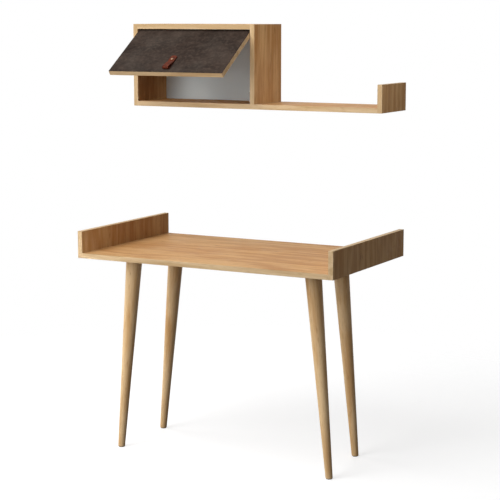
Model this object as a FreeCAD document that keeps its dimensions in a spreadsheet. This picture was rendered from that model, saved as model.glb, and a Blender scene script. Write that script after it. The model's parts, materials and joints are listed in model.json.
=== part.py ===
import FreeCAD, Part
import math
import operator
import os
from types import SimpleNamespace

import Sketcher

# Driving dimensions, in millimetres and degrees: name, value, what it measures
SIZES = (
    # Boards in general
    ("board", 18, "thickness of the veneered boards"),
    ("ease", 0.8, "rounding of the open edges of a board"),
    ("slack", 0.1, "room around a piece pushed into a drilled hole"),
    ("overrun", 2, "how far a cut runs past the face that it opens"),
    # Desk
    ("desk_width", 1000, "over both side panels"),
    ("desk_depth", 590, "front edge to back edge"),
    ("underside", 717, "floor to the underside of the desktop"),
    ("side_height", 96, "height of a side panel"),
    # Legs
    ("leg_top_width", 58, "diameter of a leg at its top"),
    ("leg_foot_width", 25, "diameter of a leg at its foot"),
    ("leg_bevel", 2, "bevel round the top of a leg"),
    ("foot_inset", 78, "end of the desk to the middle of a foot"),
    ("splay", 66, "how far a leg leans out between underside and foot pad"),
    ("front_leg_inset", 147, "front edge to the middle of the front legs"),
    ("rear_leg_inset", 149, "back edge to the middle of the rear legs"),
    ("rear_right_shift", 36, "how much further in the rear right leg stands"),
    ("glide_height", 3, "thickness of the pad under a foot"),
    ("glide_width", 22, "diameter of the pad under a foot"),
    ("glide_round", 1, "bevel round the pad under a foot"),
    # Leg plates and their fasteners
    ("plate_side", 84, "side of a square leg plate"),
    ("plate_thick", 3, "thickness of a leg plate"),
    ("plate_corner", 10, "rounding of a leg plate's corners"),
    ("boss_width", 46, "diameter of the slanted boss on a leg plate"),
    ("boss_drop", 11, "underside to the seat of a leg, along the leg"),
    ("hanger_bolt_width", 8, "diameter of the bolt that joins leg and plate"),
    ("hanger_bolt_sunk", 32, "length of that bolt in the leg"),
    ("plate_screw_reach", 31, "middle of a leg plate to its screws"),
    ("plate_screw_width", 4.5, "shank of a leg plate screw"),
    ("plate_screw_length", 15, "length of a leg plate screw under its head"),
    ("plate_head_width", 8.5, "head of a leg plate screw"),
    ("plate_head_height", 2.4, "height of that head"),
    # Dowels and cam fittings
    ("dowel_width", 8, "diameter of a wooden dowel"),
    ("dowel_length", 30, "length of a wooden dowel"),
    ("dowel_sunk", 12, "length of a dowel in the upright board"),
    ("dowel_bevel", 1, "bevel at the ends of a dowel"),
    ("cam_width", 15, "diameter of a cam"),
    ("cam_height", 13.5, "height of a cam"),
    ("cam_setback", 34, "end of a board to the middle of its cam"),
    ("cam_cross_length", 9, "length of the cross recess in a cam"),
    ("cam_cross_width", 1.6, "width of the cross recess in a cam"),
    ("cam_cross_depth", 2, "depth of the cross recess in a cam"),
    ("cam_channel", 8, "diameter of the channel that takes the bolt's head"),
    ("cam_bolt_width", 7, "shank and head of a cam bolt"),
    ("cam_bolt_thread", 5, "thread of a cam bolt"),
    ("cam_bolt_sunk", 11, "length of that thread in the upright board"),
    ("cam_bolt_neck", 4, "diameter of the neck that the cam grips"),
    ("cam_bolt_neck_length", 5, "length of that neck"),
    ("cam_bolt_head", 3, "length of a cam bolt's head"),
    # Wall unit
    ("wall_width", 1000, "over the left side and the end upright"),
    ("shelf_depth", 210, "front edge to back edge"),
    ("shelf_underside", 1237, "floor to the underside of the long shelf"),
    ("cabinet_width", 506, "over the left side and the partition"),
    ("cabinet_height", 300, "height of the cabinet"),
    ("upright_height", 98, "height of the end upright"),
    ("back_thick", 3, "thickness of the back panel"),
    ("back_inset", 5, "back edges to the back panel"),
    ("groove_depth", 3.5, "depth of the grooves that hold the back panel"),
    ("long_screw_width", 7, "shank of the screws under the partition"),
    ("long_screw_length", 50, "length of those screws under their heads"),
    ("long_head_width", 10, "head of those screws"),
    ("long_head_height", 4, "height of that head, let into the shelf"),
    # Hangers at the back edges
    ("hanger_width", 14, "width of a keyhole plate"),
    ("hanger_length", 46, "length of a keyhole plate"),
    ("hanger_thick", 1.5, "thickness of a keyhole plate"),
    ("hanger_recess", 4, "depth of the recess that takes plate and screw heads"),
    ("hanger_entry", 9, "diameter of the keyhole's entry"),
    ("hanger_neck", 4.6, "width of the keyhole's slot"),
    ("hanger_rise", 11, "entry to the top of the keyhole's slot"),
    ("hanger_room_width", 9.4, "width of the hollow behind a keyhole"),
    ("hanger_room_length", 26, "length of that hollow"),
    ("hanger_room_depth", 7, "depth of that hollow behind the plate"),
    ("hanger_drop", 58, "top of the cabinet to its hangers"),
    ("hanger_screw_reach", 18, "middle of a keyhole plate to its screws"),
    ("hanger_screw_width", 3, "shank of a hanger screw"),
    ("hanger_screw_length", 16, "length of a hanger screw under its head"),
    ("hanger_head_width", 5.6, "head of a hanger screw"),
    ("hanger_head_height", 1.8, "height of that head"),
    # Flap and its pivots
    ("flap_open", 55.5, "opening of the flap as it stands, in degrees"),
    ("flap_thick", 18, "thickness of the flap with its laminate"),
    ("laminate", 1, "thickness of the dark laminate"),
    ("flap_side_gap", 2, "flap to the boards at its ends"),
    ("flap_top_gap", 3.5, "flap to the cabinet's top when closed"),
    ("flap_foot_gap", 2.5, "flap to the long shelf when closed"),
    ("pivot_drop", 12, "top edge of the flap to its pivots"),
    ("pivot_pin_width", 6, "diameter of a pivot pin"),
    ("pivot_pin_sunk", 20, "length of a pivot pin in the flap"),
    ("pivot_pin_reach", 9, "length of a pivot pin in its sleeve"),
    ("pivot_pin_bevel", 0.6, "bevel at the ends of a pivot pin"),
    ("pivot_clearance", 0.05, "running room round a pivot pin in its sleeve"),
    ("sleeve_width", 10, "outside diameter of a friction sleeve"),
    ("sleeve_length", 12, "length of a friction sleeve"),
    # Leather pull
    ("pull_length", 79, "length of the folded pull"),
    ("pull_width", 25, "width of the strap"),
    ("pull_thick", 2.2, "thickness of the leather"),
    ("pull_loop", 13, "height of the loop at the pull's lower end"),
    ("pull_crease", 36, "top of the pull to the crease where the loop starts"),
    ("pull_corner", 9, "rounding of the pull's upper corners"),
    ("pull_foot", 14, "foot of the flap to the pull"),
    ("pull_screw_drop", 22, "top of the pull to its screw"),
    ("pull_screw_width", 4, "shank of the pull's screw"),
    ("pull_screw_length", 14, "length of the pull's screw under its head"),
    ("pull_head_width", 10, "head of the pull's screw"),
    ("pull_head_height", 3, "height of that head"),
    # Magnetic catch
    ("catch_width", 14, "how far the catch stands off the partition"),
    ("catch_depth", 22, "size of the catch, front to back"),
    ("catch_height", 34, "size of the catch, upwards"),
    ("catch_lift", 8, "long shelf to the catch"),
    ("catch_gap", 0.3, "strike plate to catch when closed"),
    ("magnet_width", 8, "width of the magnet"),
    ("magnet_height", 24, "height of the magnet"),
    ("magnet_depth", 7, "depth of the magnet in its housing"),
    ("catch_screw_width", 3, "shank of a catch screw"),
    ("catch_screw_length", 24, "length of a catch screw under its head"),
    ("catch_screw_spread", 20, "distance between the catch screws"),
    ("catch_screw_back", 16, "front of the catch to its screws"),
    ("catch_head_width", 5.6, "head of a catch or strike screw"),
    ("catch_head_height", 1.8, "height of that head"),
    ("strike_thick", 1.2, "thickness of the strike plate"),
    ("strike_width", 8, "width of the strike plate"),
    ("strike_tail", 14, "part of the strike plate above the catch"),
    ("strike_screw_length", 10, "length of the strike screw under its head"),
)

# Where dowels and cams sit along a joint, as shares of the board's depth
DESK_DOWEL_SHARES = (0.2, 0.5, 0.8)
DESK_CAM_SHARES = (0.1, 0.9)
WALL_DOWEL_SHARES = (0.2, 0.8)
WALL_CAM_SHARES = (0.35, 0.65)
PARTITION_SCREW_SHARES = (0.2, 0.8)

ORIGIN = (-1, 1)
START, END, CENTRE = range(1, 4)
X_AXIS = FreeCAD.Vector(1, 0, 0)
Y_AXIS = FreeCAD.Vector(0, 1, 0)
Z_AXIS = FreeCAD.Vector(0, 0, 1)
QUARTER_TURN = 90
HALF_TURN = 180
PARALLEL_TOLERANCE = 0.01


class Size:
    """A length or an angle, kept as a number and as the sheet's expression for it."""

    def __init__(self, value, text):
        self.value = value
        self.text = text

    def joined(self, sign, action, left, right):
        left, right = as_size(left), as_size(right)
        return Size(action(left.value, right.value), f"({left.text} {sign} {right.text})")

    def __add__(self, other):
        return self.joined("+", operator.add, self, other)

    def __radd__(self, other):
        return self.joined("+", operator.add, other, self)

    def __sub__(self, other):
        return self.joined("-", operator.sub, self, other)

    def __rsub__(self, other):
        return self.joined("-", operator.sub, other, self)

    def __mul__(self, other):
        return self.joined("*", operator.mul, self, other)

    def __rmul__(self, other):
        return self.joined("*", operator.mul, other, self)

    def __truediv__(self, other):
        return self.joined("/", operator.truediv, self, other)

    def __neg__(self):
        return 0 - self


def as_size(value):
    """A plain number as a Size, and a Size as it is."""
    return value if isinstance(value, Size) else Size(value, repr(value))


def sine(angle):
    """The sine of an angle in degrees."""
    return Size(math.sin(math.radians(angle.value)), f"sin({angle.text})")


def cosine(angle):
    """The cosine of an angle in degrees."""
    return Size(math.cos(math.radians(angle.value)), f"cos({angle.text})")


def slope_angle(rise):
    """The angle in degrees whose tangent is given."""
    return Size(math.degrees(math.atan(rise.value)), f"(atan({rise.text}) / 1 deg)")


doc = FreeCAD.newDocument("study_desk")
sheet = doc.addObject("Spreadsheet::Sheet", "Sizes")
for row, (name, value, meaning) in enumerate(SIZES, 1):
    sheet.set(f"A{row}", str(value))
    sheet.setAlias(f"A{row}", name)
    sheet.set(f"B{row}", meaning)
doc.recompute()
s = SimpleNamespace(**{name: Size(value, f"Sizes.{name}") for name, value, meaning in SIZES})
nodes = []


def bind(thing, prop, value):
    """Tie a property to the sheet."""
    thing.setExpression(prop, as_size(value).text)


def place(thing, spot, turn=None):
    """Put an object at a spot, turned about an axis, with all of it tied to the sheet."""
    if turn:
        axis, angle = turn
        rotation = FreeCAD.Rotation(axis, as_size(angle).value)
        thing.Placement = FreeCAD.Placement(FreeCAD.Vector(), rotation)
        bind(thing, "Placement.Rotation.Angle", angle)
    for direction, value in zip("xyz", spot):
        bind(thing, f"Placement.Base.{direction}", value)


def keep(thing, label):
    """Name a finished sub-part and set it down for writing."""
    thing.Label = label
    nodes.append(thing)
    return thing


def plane_of(body, role):
    """One of the origin planes of a body."""
    return next(feature for feature in body.Origin.OriginFeatures if feature.Role == role)


def sketch_on(body, role, lift=0):
    """A new sketch on an origin plane of a body, lifted along the plane's normal."""
    sketch = body.newObject("Sketcher::SketchObject", "Sketch")
    sketch.AttachmentSupport = [(plane_of(body, role), "")]
    sketch.MapMode = "FlatFace"
    bind(sketch, "AttachmentOffset.Base.z", lift)
    return sketch


def flat(spot):
    """A sketch's spot as a vector."""
    return FreeCAD.Vector(as_size(spot[0]).value, as_size(spot[1]).value, 0)


def dimension(sketch, kind, target, value):
    """Add a dimension to a sketch and tie it to the sheet."""
    index = sketch.addConstraint(Sketcher.Constraint(kind, *target, as_size(value).value))
    sketch.renameConstraint(index, f"size{index}")
    bind(sketch, f"Constraints.size{index}", value)


def pin_down(sketch, curve, end, spot):
    """Dimension one point of a sketch from the sketch's origin."""
    dimension(sketch, "DistanceX", (*ORIGIN, curve, end), spot[0])
    dimension(sketch, "DistanceY", (*ORIGIN, curve, end), spot[1])


def draw_outline(sketch, spots):
    """Draw a closed outline of straight lines through the spots."""
    following = list(spots[1:]) + [spots[0]]
    lines = [Part.LineSegment(flat(a), flat(b)) for a, b in zip(spots, following)]
    indices = sketch.addGeometry(lines, False)
    for here, then, spot in zip(indices, list(indices[1:]) + [indices[0]], spots):
        sketch.addConstraint(Sketcher.Constraint("Coincident", here, END, then, START))
        pin_down(sketch, here, START, spot)


def draw_box(sketch, low, high):
    """Draw a rectangle between two corners."""
    draw_outline(sketch, (low, (high[0], low[1]), high, (low[0], high[1])))


def draw_circles(sketch, spots, width):
    """Draw circles of one diameter at the spots."""
    for spot in spots:
        index = sketch.addGeometry(Part.Circle(flat(spot), Z_AXIS, as_size(width).value / 2), False)
        pin_down(sketch, index, CENTRE, spot)
        dimension(sketch, "Diameter", (index,), width)


def draw_slot(sketch, low, high, width):
    """Draw an upright slot with round ends between two centres."""
    radius = as_size(width).value / 2
    side = FreeCAD.Vector(radius, 0, 0)
    low_at, high_at = flat(low), flat(high)
    lower = Part.ArcOfCircle(Part.Circle(low_at, Z_AXIS, radius), math.pi, 2 * math.pi)
    upper = Part.ArcOfCircle(Part.Circle(high_at, Z_AXIS, radius), 0, math.pi)
    rising = Part.LineSegment(low_at + side, high_at + side)
    falling = Part.LineSegment(high_at - side, low_at - side)
    ring = sketch.addGeometry([lower, rising, upper, falling], False)
    for here, then in zip(ring, list(ring[1:]) + [ring[0]]):
        sketch.addConstraint(Sketcher.Constraint("Tangent", here, END, then, START))
    pin_down(sketch, ring[0], CENTRE, low)
    pin_down(sketch, ring[2], CENTRE, high)
    sketch.addConstraint(Sketcher.Constraint("Equal", ring[0], ring[2]))
    dimension(sketch, "Radius", (ring[0],), width / 2)


def add_pad(body, sketch, length, downwards=False):
    """Raise a sketch into a solid."""
    pad = body.newObject("PartDesign::Pad", "Pad")
    pad.Profile = sketch
    pad.Reversed = downwards
    bind(pad, "Length", length)
    doc.recompute()


def add_pocket(body, sketch, depth, along_normal):
    """Cut a sketch into a body, along the sketch's normal or against it."""
    volume = body.Shape.Volume
    pocket = body.newObject("PartDesign::Pocket", "Pocket")
    pocket.Profile = sketch
    pocket.Reversed = along_normal
    bind(pocket, "Length", depth)
    doc.recompute()
    if body.Shape.Volume >= volume:
        raise ValueError(f"a pocket in {body.Label} cuts nothing")


def round_edges(body, radius, wanted):
    """Round the straight edges of a body that the test picks by direction and middle."""
    base = body.Tip
    names = []
    for number, edge in enumerate(base.Shape.Edges, 1):
        if edge.Curve.TypeId == "Part::GeomLine":
            if wanted(edge.tangentAt(edge.FirstParameter), edge.CenterOfMass):
                names.append(f"Edge{number}")
    fillet = body.newObject("PartDesign::Fillet", "Rounding")
    fillet.Base = (base, names)
    bind(fillet, "Radius", radius)
    doc.recompute()


def runs_along(*axes):
    """A test that picks the edges along any of the axes."""
    return lambda way, middle: any(way.isParallel(axis, PARALLEL_TOLERANCE) for axis in axes)


class Board:
    """A square board whose lowest corner is its own origin, with work done from its faces."""

    # Each face: its sketch plane, the way that lifts the plane to it, whether a cut follows the normal
    FACES = {
        "left": ("YZ_Plane", None, True),
        "right": ("YZ_Plane", "x", False),
        "front": ("XZ_Plane", None, False),
        "back": ("XZ_Plane", "y", True),
        "bottom": ("XY_Plane", None, True),
        "top": ("XY_Plane", "z", False),
    }

    def __init__(self, label, size, corner, eased=(), turn=None):
        self.reach = dict(zip("xyz", size))
        self.body = keep(doc.addObject("PartDesign::Body", label), label)
        sketch = sketch_on(self.body, "XY_Plane")
        draw_box(sketch, (0, 0), size[:2])
        add_pad(self.body, sketch, size[2])
        if eased:
            round_edges(self.body, s.ease, runs_along(*eased))
        place(self.body, corner, turn)

    def face_sketch(self, face):
        """A sketch on a face, and whether a cut into the board follows its normal."""
        role, way, along_normal = self.FACES[face]
        lift = self.reach[way] if way else 0
        return sketch_on(self.body, role, -lift if face == "back" else lift), along_normal

    def drill(self, face, spots, width, depth):
        """Drill holes of one size from a face."""
        sketch, along_normal = self.face_sketch(face)
        draw_circles(sketch, spots, width)
        add_pocket(self.body, sketch, depth, along_normal)

    def groove(self, face, low, high, depth):
        """Cut a square groove or recess from a face."""
        sketch, along_normal = self.face_sketch(face)
        draw_box(sketch, low, high)
        add_pocket(self.body, sketch, depth, along_normal)

    def rout(self, face, low, high, width, depth):
        """Rout a slot with round ends from a face."""
        sketch, along_normal = self.face_sketch(face)
        draw_slot(sketch, low, high, width)
        add_pocket(self.body, sketch, depth, along_normal)


def turned(label, outline):
    """A body turned about its own upright axis, from radii and heights."""
    body = doc.addObject("PartDesign::Body", label)
    body.Label = label
    sketch = sketch_on(body, "XZ_Plane")
    draw_outline(sketch, outline)
    turning = body.newObject("PartDesign::Revolution", "Turning")
    turning.Profile = sketch
    turning.ReferenceAxis = (sketch, ["V_Axis"])
    turning.Angle = 2 * HALF_TURN
    doc.recompute()
    return body


def screw(label, head_width, head_height, width, length):
    """A pan head screw that points up, with its head under its origin."""
    return turned(
        label,
        (
            (0, -head_height),
            (head_width / 3, -head_height),
            (head_width / 2, -head_height / 2),
            (head_width / 2, 0),
            (width / 2, 0),
            (width / 2, length - width / 2),
            (0, length),
        ),
    )


def copies(label, pattern, spots):
    """A group of separate copies of one piece, each at a spot and turned about an axis."""
    links = []
    for spot, turn in spots:
        link = doc.addObject("App::Link", "Copy")
        link.LinkedObject = pattern
        link.LinkTransform = False
        place(link, spot, turn)
        links.append(link)
    group = doc.addObject("Part::Compound", label)
    group.Links = links
    doc.recompute()
    return keep(group, label)


def along(depth, shares):
    """Places along a depth at the given shares."""
    return [depth * share for share in shares]


# Reference planes of the desk and of the wall unit
desk_left = -s.desk_width / 2
desk_right = s.desk_width / 2
desk_front = -s.desk_depth / 2
back_plane = s.desk_depth / 2
wall_left = -s.wall_width / 2
wall_right = s.wall_width / 2
wall_front = back_plane - s.shelf_depth
shelf_top = s.shelf_underside + s.board
cabinet_roof = s.shelf_underside + s.cabinet_height
inner_width = s.cabinet_width - s.board * 2
inner_height = s.cabinet_height - s.board * 2
partition_left = wall_left + s.board + inner_width
desktop_length = s.desk_width - s.board * 2
shelf_length = s.wall_width - s.board * 2
half_board = s.board / 2

# Holes that take a fitting with a little room
dowel_hole = s.dowel_width + s.slack * 2
cam_hole = s.cam_width + s.slack * 2
cam_bolt_hole = s.cam_bolt_width + s.slack * 2
cam_thread_hole = s.cam_bolt_thread + s.slack * 2
plate_screw_hole = s.plate_screw_width + s.slack * 2
hanger_bolt_hole = s.hanger_bolt_width + s.slack * 2
hanger_screw_hole = s.hanger_screw_width + s.slack * 2
catch_screw_hole = s.catch_screw_width + s.slack * 2
long_screw_hole = s.long_screw_width + s.slack * 2
pull_screw_hole = s.pull_screw_width + s.slack * 2
pivot_pin_hole = s.pivot_pin_width + s.slack * 2
sleeve_hole = s.sleeve_width + s.slack * 2


def join_end(rail, face, length, depth, dowel_shares, cam_shares):
    """Prepare one end of a level board for its dowels, cam bolts and cams."""
    cam_at = s.cam_setback if face == "left" else length - s.cam_setback
    dowels = [(y, half_board) for y in along(depth, dowel_shares)]
    bolts = [(y, half_board) for y in along(depth, cam_shares)]
    rail.drill(face, dowels, dowel_hole, s.dowel_length - s.dowel_sunk + s.slack)
    rail.drill(face, bolts, cam_bolt_hole, s.cam_setback)
    cams = [(cam_at, y) for y in along(depth, cam_shares)]
    rail.drill("bottom", cams, cam_hole, s.cam_height + s.slack)


def join_face(upright, face, level, depth, dowel_shares, cam_shares):
    """Prepare the face of an upright board for the dowels and cam bolts of a level board."""
    dowels = [(y, level) for y in along(depth, dowel_shares)]
    bolts = [(y, level) for y in along(depth, cam_shares)]
    upright.drill(face, dowels, dowel_hole, s.dowel_sunk + s.slack)
    upright.drill(face, bolts, cam_thread_hole, s.cam_bolt_sunk + s.slack)


# Desktop and side panels
desktop = Board(
    "desktop_panel",
    (desktop_length, s.desk_depth, s.board),
    (desk_left + s.board, desk_front, s.underside),
    eased=(X_AXIS,),
)
side_size = (s.board, s.desk_depth, s.side_height)
left_side = Board(
    "left_side_panel", side_size, (desk_left, desk_front, s.underside), eased=(X_AXIS, Y_AXIS, Z_AXIS)
)
right_side = Board(
    "right_side_panel",
    side_size,
    (desk_right - s.board, desk_front, s.underside),
    eased=(X_AXIS, Y_AXIS, Z_AXIS),
)
for end, panel, face in (("left", left_side, "right"), ("right", right_side, "left")):
    join_end(desktop, end, desktop_length, s.desk_depth, DESK_DOWEL_SHARES, DESK_CAM_SHARES)
    join_face(panel, face, half_board, s.desk_depth, DESK_DOWEL_SHARES, DESK_CAM_SHARES)

# Legs: name, side of the centre line, distance of the foot from it, place along the depth
foot_spread = desk_right - s.foot_inset
front_row = desk_front + s.front_leg_inset
rear_row = back_plane - s.rear_leg_inset
LEGS = (
    ("front_left", -1, foot_spread, front_row),
    ("front_right", 1, foot_spread, front_row),
    ("rear_left", -1, foot_spread, rear_row),
    ("rear_right", 1, foot_spread - s.rear_right_shift, rear_row),
)
lean_angle = slope_angle(s.splay / (s.underside - s.glide_height))
leg_rise = (s.underside - s.glide_height) / cosine(lean_angle)
leg_length = leg_rise - s.boss_drop
foot_below = s.leg_foot_width / 2
leg_foot_radius = s.leg_foot_width / 2
leg_top_radius = s.leg_top_width / 2
plate_screw_spots = []
hanger_bolt_spots = []

for name, side, spread, reach in LEGS:
    foot_x = spread * side
    head_x = (spread - s.splay) * side
    lean = lean_angle * -side
    leg = turned(
        f"{name}_leg",
        (
            (0, -foot_below),
            (leg_foot_radius, -foot_below),
            (leg_foot_radius, 0),
            (leg_top_radius, leg_length - s.leg_bevel),
            (leg_top_radius - s.leg_bevel, leg_length),
            (0, leg_length),
        ),
    )
    level_cut = leg.newObject("PartDesign::SubtractiveCylinder", "LevelFoot")
    bind(level_cut, "Radius", s.leg_foot_width)
    bind(level_cut, "Height", s.leg_foot_width)
    level_at = (s.leg_foot_width * sine(lean), 0, -s.leg_foot_width * cosine(lean))
    place(level_cut, level_at, (Y_AXIS, -lean))
    doc.recompute()
    bore = sketch_on(leg, "XY_Plane", leg_length)
    draw_circles(bore, ((0, 0),), hanger_bolt_hole)
    add_pocket(leg, bore, s.hanger_bolt_sunk + s.slack, False)
    place(leg, (foot_x, reach, s.glide_height), (Y_AXIS, lean))
    keep(leg, f"{name}_leg")

    plate = keep(doc.addObject("PartDesign::Body", f"{name}_leg_plate"), f"{name}_leg_plate")
    square = sketch_on(plate, "XY_Plane")
    half_side = s.plate_side / 2
    draw_box(square, (-half_side, -half_side), (half_side, half_side))
    add_pad(plate, square, s.plate_thick, downwards=True)
    round_edges(plate, s.plate_corner, runs_along(Z_AXIS))
    boss = plate.newObject("PartDesign::AdditiveCylinder", "SlantedBoss")
    bind(boss, "Radius", s.boss_width / 2)
    bind(boss, "Height", s.boss_drop)
    place(boss, (-s.boss_drop * sine(lean), 0, -s.boss_drop * cosine(lean)), (Y_AXIS, lean))
    doc.recompute()
    trim = sketch_on(plate, "XY_Plane")
    draw_circles(trim, ((0, 0),), s.plate_side)
    add_pocket(plate, trim, s.boss_drop, True)
    screw_reach = s.plate_screw_reach
    corners = [(screw_reach * i, screw_reach * j) for i in (-1, 1) for j in (-1, 1)]
    holes = sketch_on(plate, "XY_Plane")
    draw_circles(holes, corners, plate_screw_hole)
    add_pocket(plate, holes, s.plate_thick, False)
    thread = plate.newObject("PartDesign::SubtractiveCylinder", "BoltBore")
    bind(thread, "Radius", hanger_bolt_hole / 2)
    bind(thread, "Height", s.boss_drop + s.overrun * 2)
    bore_start = s.boss_drop + s.overrun
    place(thread, (-bore_start * sine(lean), 0, -bore_start * cosine(lean)), (Y_AXIS, lean))
    doc.recompute()
    place(plate, (head_x, reach, s.underside))
    for across, deep in corners:
        plate_screw_spots.append((head_x + across, reach + deep))

    glide_radius = s.glide_width / 2
    glide = turned(
        f"{name}_glide",
        (
            (0, 0),
            (glide_radius - s.glide_round, 0),
            (glide_radius, s.glide_round),
            (glide_radius, s.glide_height),
            (0, s.glide_height),
        ),
    )
    place(glide, (foot_x, reach, 0))
    keep(glide, f"{name}_glide")

    bolt_start = leg_length - s.hanger_bolt_sunk
    bolt_at = (
        foot_x + bolt_start * sine(lean),
        reach,
        s.glide_height + bolt_start * cosine(lean),
    )
    hanger_bolt_spots.append((bolt_at, (Y_AXIS, lean)))

# Fasteners of the legs
bolt_radius = s.hanger_bolt_width / 2
bolt_length = s.hanger_bolt_sunk + s.boss_drop - s.plate_thick / 2
hanger_bolt = turned(
    "hanger_bolt",
    (
        (0, 0),
        (bolt_radius / 2, 0),
        (bolt_radius, bolt_radius),
        (bolt_radius, bolt_length),
        (0, bolt_length),
    ),
)
copies("leg_hanger_bolts", hanger_bolt, hanger_bolt_spots)
plate_screw = screw(
    "plate_screw", s.plate_head_width, s.plate_head_height, s.plate_screw_width, s.plate_screw_length
)
plate_seat = s.underside - s.plate_thick
copies("leg_plate_screws", plate_screw, [((x, y, plate_seat), None) for x, y in plate_screw_spots])
desktop.drill(
    "bottom",
    [(x - desk_left - s.board, y - desk_front) for x, y in plate_screw_spots],
    plate_screw_hole,
    s.plate_screw_length - s.plate_thick + s.slack,
)

# Wall unit boards
all_edges = (X_AXIS, Y_AXIS, Z_AXIS)
cabinet_left = Board(
    "cabinet_left_side",
    (s.board, s.shelf_depth, s.cabinet_height),
    (wall_left, wall_front, s.shelf_underside),
    eased=all_edges,
)
cabinet_top = Board(
    "cabinet_top",
    (inner_width, s.shelf_depth, s.board),
    (wall_left + s.board, wall_front, cabinet_roof - s.board),
    eased=(X_AXIS,),
)
partition = Board(
    "partition",
    (s.board, s.shelf_depth, s.cabinet_height - s.board),
    (partition_left, wall_front, shelf_top),
    eased=(Z_AXIS,),
)
shelf = Board(
    "shelf_board",
    (shelf_length, s.shelf_depth, s.board),
    (wall_left + s.board, wall_front, s.shelf_underside),
    eased=(X_AXIS,),
)
upright = Board(
    "end_upright",
    (s.board, s.shelf_depth, s.upright_height),
    (wall_right - s.board, wall_front, s.shelf_underside),
    eased=all_edges,
)

# Back panel and the grooves that hold it
tongue = s.groove_depth - s.slack
back_panel = Board(
    "back_panel",
    (inner_width + tongue * 2, s.back_thick, inner_height + tongue * 2),
    (wall_left + s.board - tongue, back_plane - s.back_inset - s.back_thick, shelf_top - tongue),
)
groove_back = s.shelf_depth - s.back_inset + s.slack
groove_front = groove_back - s.back_thick - s.slack * 2
groove_foot = s.board - s.groove_depth
groove_top = s.cabinet_height - s.board + s.groove_depth
groove_end = inner_width + s.groove_depth
open_end = inner_width + s.overrun
partition_groove_top = groove_top - s.board
cabinet_left.groove("right", (groove_front, groove_foot), (groove_back, groove_top), s.groove_depth)
partition.groove("left", (groove_front, -s.overrun), (groove_back, partition_groove_top), s.groove_depth)
cabinet_top.groove("bottom", (-s.overrun, groove_front), (open_end, groove_back), s.groove_depth)
shelf.groove("top", (-s.overrun, groove_front), (groove_end, groove_back), s.groove_depth)

# Corner joints of the wall unit
roof_level = s.cabinet_height - half_board
for end in ("left", "right"):
    join_end(cabinet_top, end, inner_width, s.shelf_depth, WALL_DOWEL_SHARES, WALL_CAM_SHARES)
    join_end(shelf, end, shelf_length, s.shelf_depth, WALL_DOWEL_SHARES, WALL_CAM_SHARES)
for panel, face, level in (
    (cabinet_left, "right", half_board),
    (cabinet_left, "right", roof_level),
    (partition, "left", roof_level - s.board),
    (upright, "left", half_board),
):
    join_face(panel, face, level, s.shelf_depth, WALL_DOWEL_SHARES, WALL_CAM_SHARES)

# Long screws from the shelf into the foot of the partition
partition_middle = partition_left + half_board
long_screw_rows = along(s.shelf_depth, PARTITION_SCREW_SHARES)
shelf_screw_spots = [(partition_middle - wall_left - s.board, y) for y in long_screw_rows]
shelf.drill("bottom", shelf_screw_spots, s.long_head_width + s.slack * 2, s.long_head_height)
shelf.drill("bottom", shelf_screw_spots, long_screw_hole, s.board)
partition.drill(
    "bottom",
    [(half_board, y) for y in long_screw_rows],
    long_screw_hole,
    s.long_screw_length - s.board + s.long_head_height + s.slack,
)
long_screw = screw(
    "long_screw", s.long_head_width, s.long_head_height, s.long_screw_width, s.long_screw_length
)
long_screw_seat = s.shelf_underside + s.long_head_height
copies(
    "partition_screws",
    long_screw,
    [((partition_middle, wall_front + y, long_screw_seat), None) for y in long_screw_rows],
)

# Dowels, cam bolts and cams: the joint's plane, its direction into the level board, front and level
dowel_radius = s.dowel_width / 2
dowel = turned(
    "dowel",
    (
        (0, 0),
        (dowel_radius - s.dowel_bevel, 0),
        (dowel_radius, s.dowel_bevel),
        (dowel_radius, s.dowel_length - s.dowel_bevel),
        (dowel_radius - s.dowel_bevel, s.dowel_length),
        (0, s.dowel_length),
    ),
)
cam_bolt_radius = s.cam_bolt_width / 2
cam_bolt_tip = s.cam_bolt_sunk + s.cam_setback + s.cam_bolt_head / 2
cam_bolt_grip = cam_bolt_tip - s.cam_bolt_head
cam_bolt_shoulder = cam_bolt_grip - s.cam_bolt_neck_length
cam_bolt = turned(
    "cam_bolt",
    (
        (0, 0),
        (s.cam_bolt_thread / 2, 0),
        (s.cam_bolt_thread / 2, s.cam_bolt_sunk),
        (cam_bolt_radius, s.cam_bolt_sunk),
        (cam_bolt_radius, cam_bolt_shoulder),
        (s.cam_bolt_neck / 2, cam_bolt_shoulder),
        (s.cam_bolt_neck / 2, cam_bolt_grip),
        (cam_bolt_radius, cam_bolt_grip),
        (cam_bolt_radius, cam_bolt_tip),
        (0, cam_bolt_tip),
    ),
)
cam_radius = s.cam_width / 2
cam = turned("cam", ((0, 0), (cam_radius, 0), (cam_radius, s.cam_height), (0, s.cam_height)))
channel = sketch_on(cam, "YZ_Plane", -cam_radius - s.overrun)
draw_circles(channel, ((0, half_board),), s.cam_channel)
add_pocket(cam, channel, cam_radius + s.overrun + s.cam_bolt_head, True)
cross = sketch_on(cam, "XY_Plane")
cross_length, cross_width = s.cam_cross_length / 2, s.cam_cross_width / 2
draw_box(cross, (-cross_length, -cross_width), (cross_length, cross_width))
add_pocket(cam, cross, s.cam_cross_depth, True)
crossing = sketch_on(cam, "XY_Plane")
draw_box(crossing, (-cross_width, -cross_length), (cross_width, cross_length))
add_pocket(cam, crossing, s.cam_cross_depth, True)

DESK_JOINTS = ((desk_left + s.board, 1, s.underside), (desk_right - s.board, -1, s.underside))
WALL_JOINTS = (
    (wall_left + s.board, 1, s.shelf_underside),
    (wall_right - s.board, -1, s.shelf_underside),
    (wall_left + s.board, 1, cabinet_roof - s.board),
    (partition_left, -1, cabinet_roof - s.board),
)


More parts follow.
